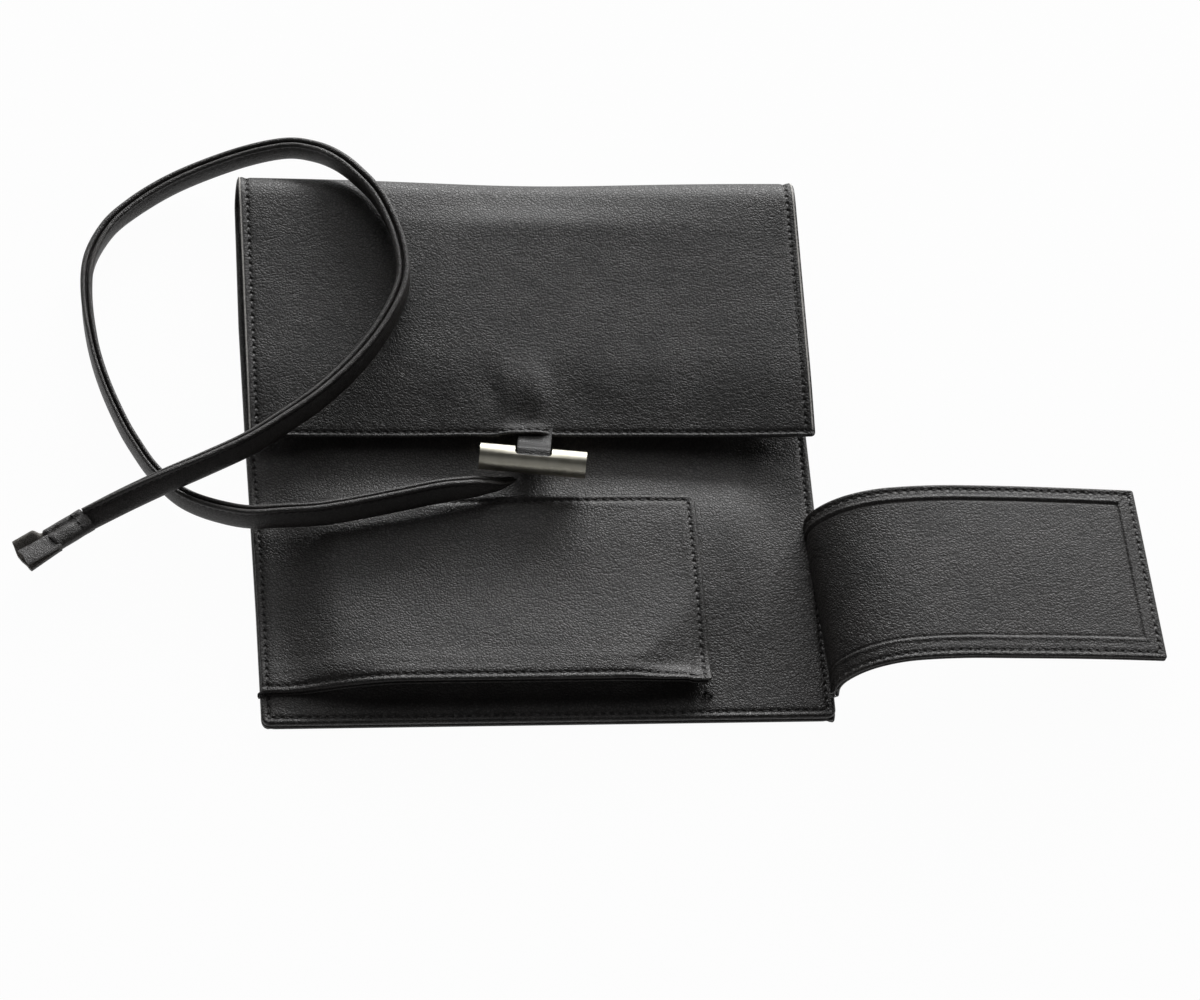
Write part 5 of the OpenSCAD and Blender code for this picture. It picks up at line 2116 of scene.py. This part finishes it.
@dataclass(frozen=True)
class Tab:
    """The leather sleeve on the strap's end, split into two leaves."""

    strap: Strap
    sleeve: float = 14.0
    leaf: float = 11.0
    height: float = 9.4
    thickness: float = 5.0
    turn: float = 214.3
    dip: float = 1.0
    roll: float = 100.0

    def matrix(self) -> Matrix:
        """Carries a shape made along X from the origin to the tab's place."""
        end = Vector(self.strap.route[-1])
        return (Matrix.Translation(end) @ Matrix.Rotation(math.radians(self.turn), 4, "Z")
                @ Matrix.Rotation(math.radians(self.dip), 4, "Y")
                @ Matrix.Rotation(math.radians(self.roll), 4, "X"))

    def placed(self, points: Array) -> Array:
        """Points made along X, carried to the tab."""
        m = np.array(self.matrix())
        return points @ m[:3, :3].T + m[:3, 3]

    def build(self, shop: Workshop) -> list[Object]:
        """Makes the sleeve, the two leaves and the cross stitch."""
        # The sleeve and the leaves wear a lighter copy of the strap's leather: painted light, so that the tab reads
        # brighter.
        leather = replace(shop.strap_leather, name="tab_leather",
                          colour=(0.024, 0.0222, 0.0213), light=(0.075, 0.0695, 0.0668)).build()
        sleeve = self.make_sleeve()
        dress(sleeve, leather, "strap_leather")
        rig.replaces(sleeve, "tab_sleeve")
        pieces = [sleeve]
        for side, which in ((1.0, "upper"), (-1.0, "lower")):
            leaf = self.make_ply(f"tab_leaf_{which}_leather", side, -0.25, 0.55)
            dress(leaf, leather, "strap_leather")
            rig.replaces(leaf, f"tab_leaf_{which}")
            flesh = self.make_ply(f"tab_flesh_{which}", side, -0.55, -0.27)
            dress(flesh, shop.cut_edge, "strap_leather")
            pieces += [leaf, flesh]
        pieces.append(self.make_stitch(shop))
        for piece in pieces:
            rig.ride(piece, "root")
        return pieces

    def make_sleeve(self) -> Object:
        """The sleeve: a flattened tube of leather, pinched at its seam."""
        rings = []
        turn = np.linspace(0, 2 * np.pi, 56, endpoint=False)
        xs = np.array([0, 0.05, 0.3, 0.9, 2.0, 3.5, 5.0, 7.0, 9.0, 11.0, 12.6, 13.6, self.sleeve])
        for x in xs:
            end = min(x, self.sleeve - x)
            full = 1 - 0.12 * hump(x - 3.5, 1.4) - 0.10 * (end < 0.02) + 0.03 * math.sin(x)
            y = self.thickness / 2 * full * np.sign(np.cos(turn)) * abs(np.cos(turn)) ** 0.8
            z = self.height / 2 * (1 - 0.05 * (end < 0.02)) * np.sin(turn)
            y = y * (1 - 0.5 * hump(z - 1.7, 1.1) * (y > 0) * smooth((x - 0.5) / 3))
            rings.append(np.stack([np.full(len(turn), x), y, z], 1))
        # The mouth is turned in, so that the strap is seen to enter it
        inner = rings[0] * [1, 0.74, 0.86] + [0.9, 0, 0]
        rings = [inner, rings[0] * [1, 0.76, 0.88], *rings]
        points = self.placed(np.array(rings).reshape(-1, 3)).reshape(len(rings), -1, 3)
        return make_tube("tab_sleeve_leather", points, None, 45.0)

    def make_ply(self, name: str, side: float, low: float, high: float) -> Object:
        """Makes one ply of a leaf, which splays and curls away from the other leaf.

        Args:
            name: Name of the piece.
            side: 1 for the upper leaf and -1 for the lower one.
            low: Inner face, from the leaf's own middle.
            high: Outer face, from the leaf's own middle.

        Returns:
            The ply's object.
        """
        t = np.linspace(-0.12, 1, 26)
        v = stations(-self.height / 2, self.height / 2, 0.4, False, False)
        v = np.concatenate([[v[0]], [v[0] + 0.06], v[1:-1], [v[-1] - 0.06], [v[-1]]])
        vv, tt = np.meshgrid(v, t)
        ragged = 0.35 * ripple(vv, tt * 0, 3.4, 41 + int(side))
        x = self.sleeve + tt * (self.leaf + ragged)
        open_ = np.clip(tt, 0, 1)
        if side > 0:
            splay = 1.1 + math.tan(math.radians(6)) * self.leaf * open_ ** 1.3
            cup = -0.5 * (vv / self.height * 2) ** 2 * open_
            height = (vv + self.height / 2) * 0.68 - self.height / 2
        else:
            splay = -0.7 - math.tan(math.radians(2)) * self.leaf * open_
            cup = 3.7 * smooth((vv - 1.8) / 2.2) * smooth(open_ * 3)
            height = vv * (1 + 0.12 * open_)
        outer, inner = (self.placed(np.stack([x, splay + cup + side * face, height], -1))
                        for face in (high, low))
        return make_sheet(name, outer, inner, np.stack([vv, x], -1))

    def make_stitch(self, shop: Workshop) -> Object:
        """The cross row of stitches that holds the strap in the sleeve."""
        rows = []
        for side in (-1.0, 1.0):
            z = np.linspace(-self.height * 0.32, self.height * 0.32, 4)
            y = side * (self.thickness / 2 * np.sqrt(np.maximum(0, 1 - (z / self.height * 2) ** 2)))
            spots = self.placed(np.stack([np.full(4, 3.5), y * 0.92, z], 1))
            rows.append((spots, unit(spots - self.placed(np.array([[3.5, 0.0, 0.0]])))))
        piece = shop.stitches.sew("tab_cross_stitches", rows, shop.thread, 1.8, 1.5, 0.5, 20.0, 7)
        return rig.slot(piece, "thread_black")


# ---- Studio ----


@dataclass(frozen=True)
class Studio:
    """Floor, backdrop light, lamps and camera."""

    bearing: float = 8.0
    elevation: float = 56.48
    roll: float = 6.0
    distance: float = 2.320
    target: Point = (0.0216, -0.0176, 0.0)
    lens: float = 217.98
    backdrop: float = 1.88
    fill: float = 0.17
    backdrop_turn: float = 12.0
    backdrop_edge: tuple[float, float] = (0.30, 0.95)
    key_place: Point = (0.415, 1.44, 0.375)
    key_size: tuple[float, float] = (1.2, 0.3)
    key_power: float = 20.0

    def camera(self) -> None:
        """Makes the camera."""
        b, e, r = (math.radians(v) for v in (self.bearing, self.elevation, self.roll))
        forward = Vector((math.sin(b) * math.cos(e), math.cos(b) * math.cos(e), -math.sin(e)))
        right = Vector((math.cos(b), -math.sin(b), 0))
        data = bpy.data.cameras.new("camera")
        data.lens, data.sensor_width = self.lens, 36.0
        data.clip_start, data.clip_end = 0.05, 20.0
        obj = linked("camera", data)
        place = Vector(self.target) - forward * self.distance
        level = Matrix((right, right.cross(forward), -forward)).transposed().to_4x4()
        obj.matrix_world = Matrix.Translation(place) @ level @ Matrix.Rotation(r, 4, "Z")
        bpy.context.scene.camera = obj

    def lamp(self, name: str, place: Point, aim: Point, size: tuple[float, float],
             power: float) -> None:
        """Makes a soft rectangular lamp that points at a place."""
        data = bpy.data.lights.new(name, "AREA")
        data.shape, data.size, data.size_y, data.energy = "RECTANGLE", size[0], size[1], power
        obj = linked(name, data)
        obj.location = place
        obj.rotation_mode = "QUATERNION"
        obj.rotation_quaternion = (Vector(aim) - Vector(place)).to_track_quat("-Z", "Y")

    def floor(self) -> None:
        """Makes the white floor, which the camera and glossy surfaces see as white."""
        side, z = 3.0, -0.0003
        mesh = bpy.data.meshes.new("floor")
        mesh.from_pydata([(-side, -side, z), (side, -side, z), (side, side, z), (-side, side, z)],
                         [], [(0, 1, 2, 3)])
        obj = linked("floor", mesh)
        sh = Shader("floor_paper")
        path = sh.add("LightPath").outputs
        seen = Signal(sh, path["Is Camera Ray"]).most(Signal(sh, path["Is Glossy Ray"]))
        seen = seen.most(Signal(sh, path["Is Transmission Ray"]))
        paper = sh.add("BsdfDiffuse", inputs={"Color": (0.82, 0.82, 0.82, 1.0)})
        glow = sh.add("Emission", inputs={"Color": (1, 1, 1, 1), "Strength": 1.0})
        both = sh.add("MixShader", inputs={0: seen * 0.97, 1: paper.outputs[0],
                                           2: glow.outputs[0]})
        sh.tree.links.new(both.outputs[0], sh.output.inputs["Surface"])
        obj.data.materials.append(sh.block)
        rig.stage(obj)

    def world(self) -> None:
        """Makes a dim world with a large white backdrop behind the object."""
        sh = Shader("studio", True)
        way = sh.add("TexCoord").outputs["Generated"]
        turn = math.radians(self.backdrop_turn)
        behind = sh.signal("VectorMath", {"operation": "DOT_PRODUCT"},
                           {0: way, 1: (math.sin(turn), math.cos(turn), 0.0)}, "Value")
        sky = sh.add("Background", inputs={
            "Color": (1, 1, 1, 1),
            "Strength": behind.step(*self.backdrop_edge) * self.backdrop
            + (behind * -1.0).step(0.3, 0.8) * self.fill + 0.025})
        sh.tree.links.new(sky.outputs[0], sh.output.inputs["Surface"])
        bpy.context.scene.world = sh.block

    def build(self) -> None:
        """Makes everything round the object."""
        scene = bpy.context.scene
        scene.view_settings.view_transform = "Standard"
        self.camera()
        self.floor()
        self.world()
        self.lamp("key_light", self.key_place, (0, 0, 0), self.key_size, self.key_power)


# ---- The pouch ----


def main() -> None:
    """Builds the studio and the pouch, in order."""
    logging.basicConfig(level=logging.INFO, format="%(message)s")
    Studio().build()
    thread = Fibres("black_thread", (0.006, 0.0055, 0.0055), (0.022, 0.02, 0.02), 0.28, 3.0,
                    (1.0, 1.0, 2.0), (0.35, 0.65), 0.55, 0.2)
    shop = Workshop(
        leather=Leather("nappa_leather"),
        # The strap's leather is lighter than the body's: painted light, so that the strap's shaded faces read grey.
        strap_leather=Leather("strap_leather", (0.016, 0.0145, 0.0138), (0.050, 0.0455, 0.0430),
                              pebble=0.7, crease=0.07, wrinkle=0.10, roughness=0.38),
        lining=Cloth("lining_cloth").build(),
        thread=thread.build(),
        # The curl at the side flap's root is drawn in pale grey thread.
        pale_thread=replace(thread, name="waxed_thread", dark=(0.10, 0.098, 0.095),
                            light=(0.42, 0.41, 0.40)).build(),
        metal=Metal("plated_metal").build(),
        cut_edge=Fibres("cut_edge", (0.05, 0.045, 0.04), (0.42, 0.40, 0.37)).build(),
        raw_edge=Fibres("raw_edge", (0.30, 0.29, 0.27), (0.85, 0.83, 0.80)).build(),
        stitches=StitchTree(),
    )
    body = Body()
    strap = Strap()
    strap.build(shop)
    LOG.info("strap made, %.0f mm long", strap.lengths()[-1])
    Wrap(body).build(shop)
    front = FrontPanel(body)
    front.build(shop)
    Pocket(body, front).build(shop)
    LOG.info("front and pocket made")
    SideFlap(body).build(shop)
    LOG.info("side flap made")
    Toggle().build(shop)
    LOG.info("toggle made")
    with open(SIZE_FILE, "w") as file:
        json.dump({"cad": [list(v) for v in CAD_BOX], "visual": [list(v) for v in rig.bounds()]},
                  file)


if __name__ == "__main__":
    main()
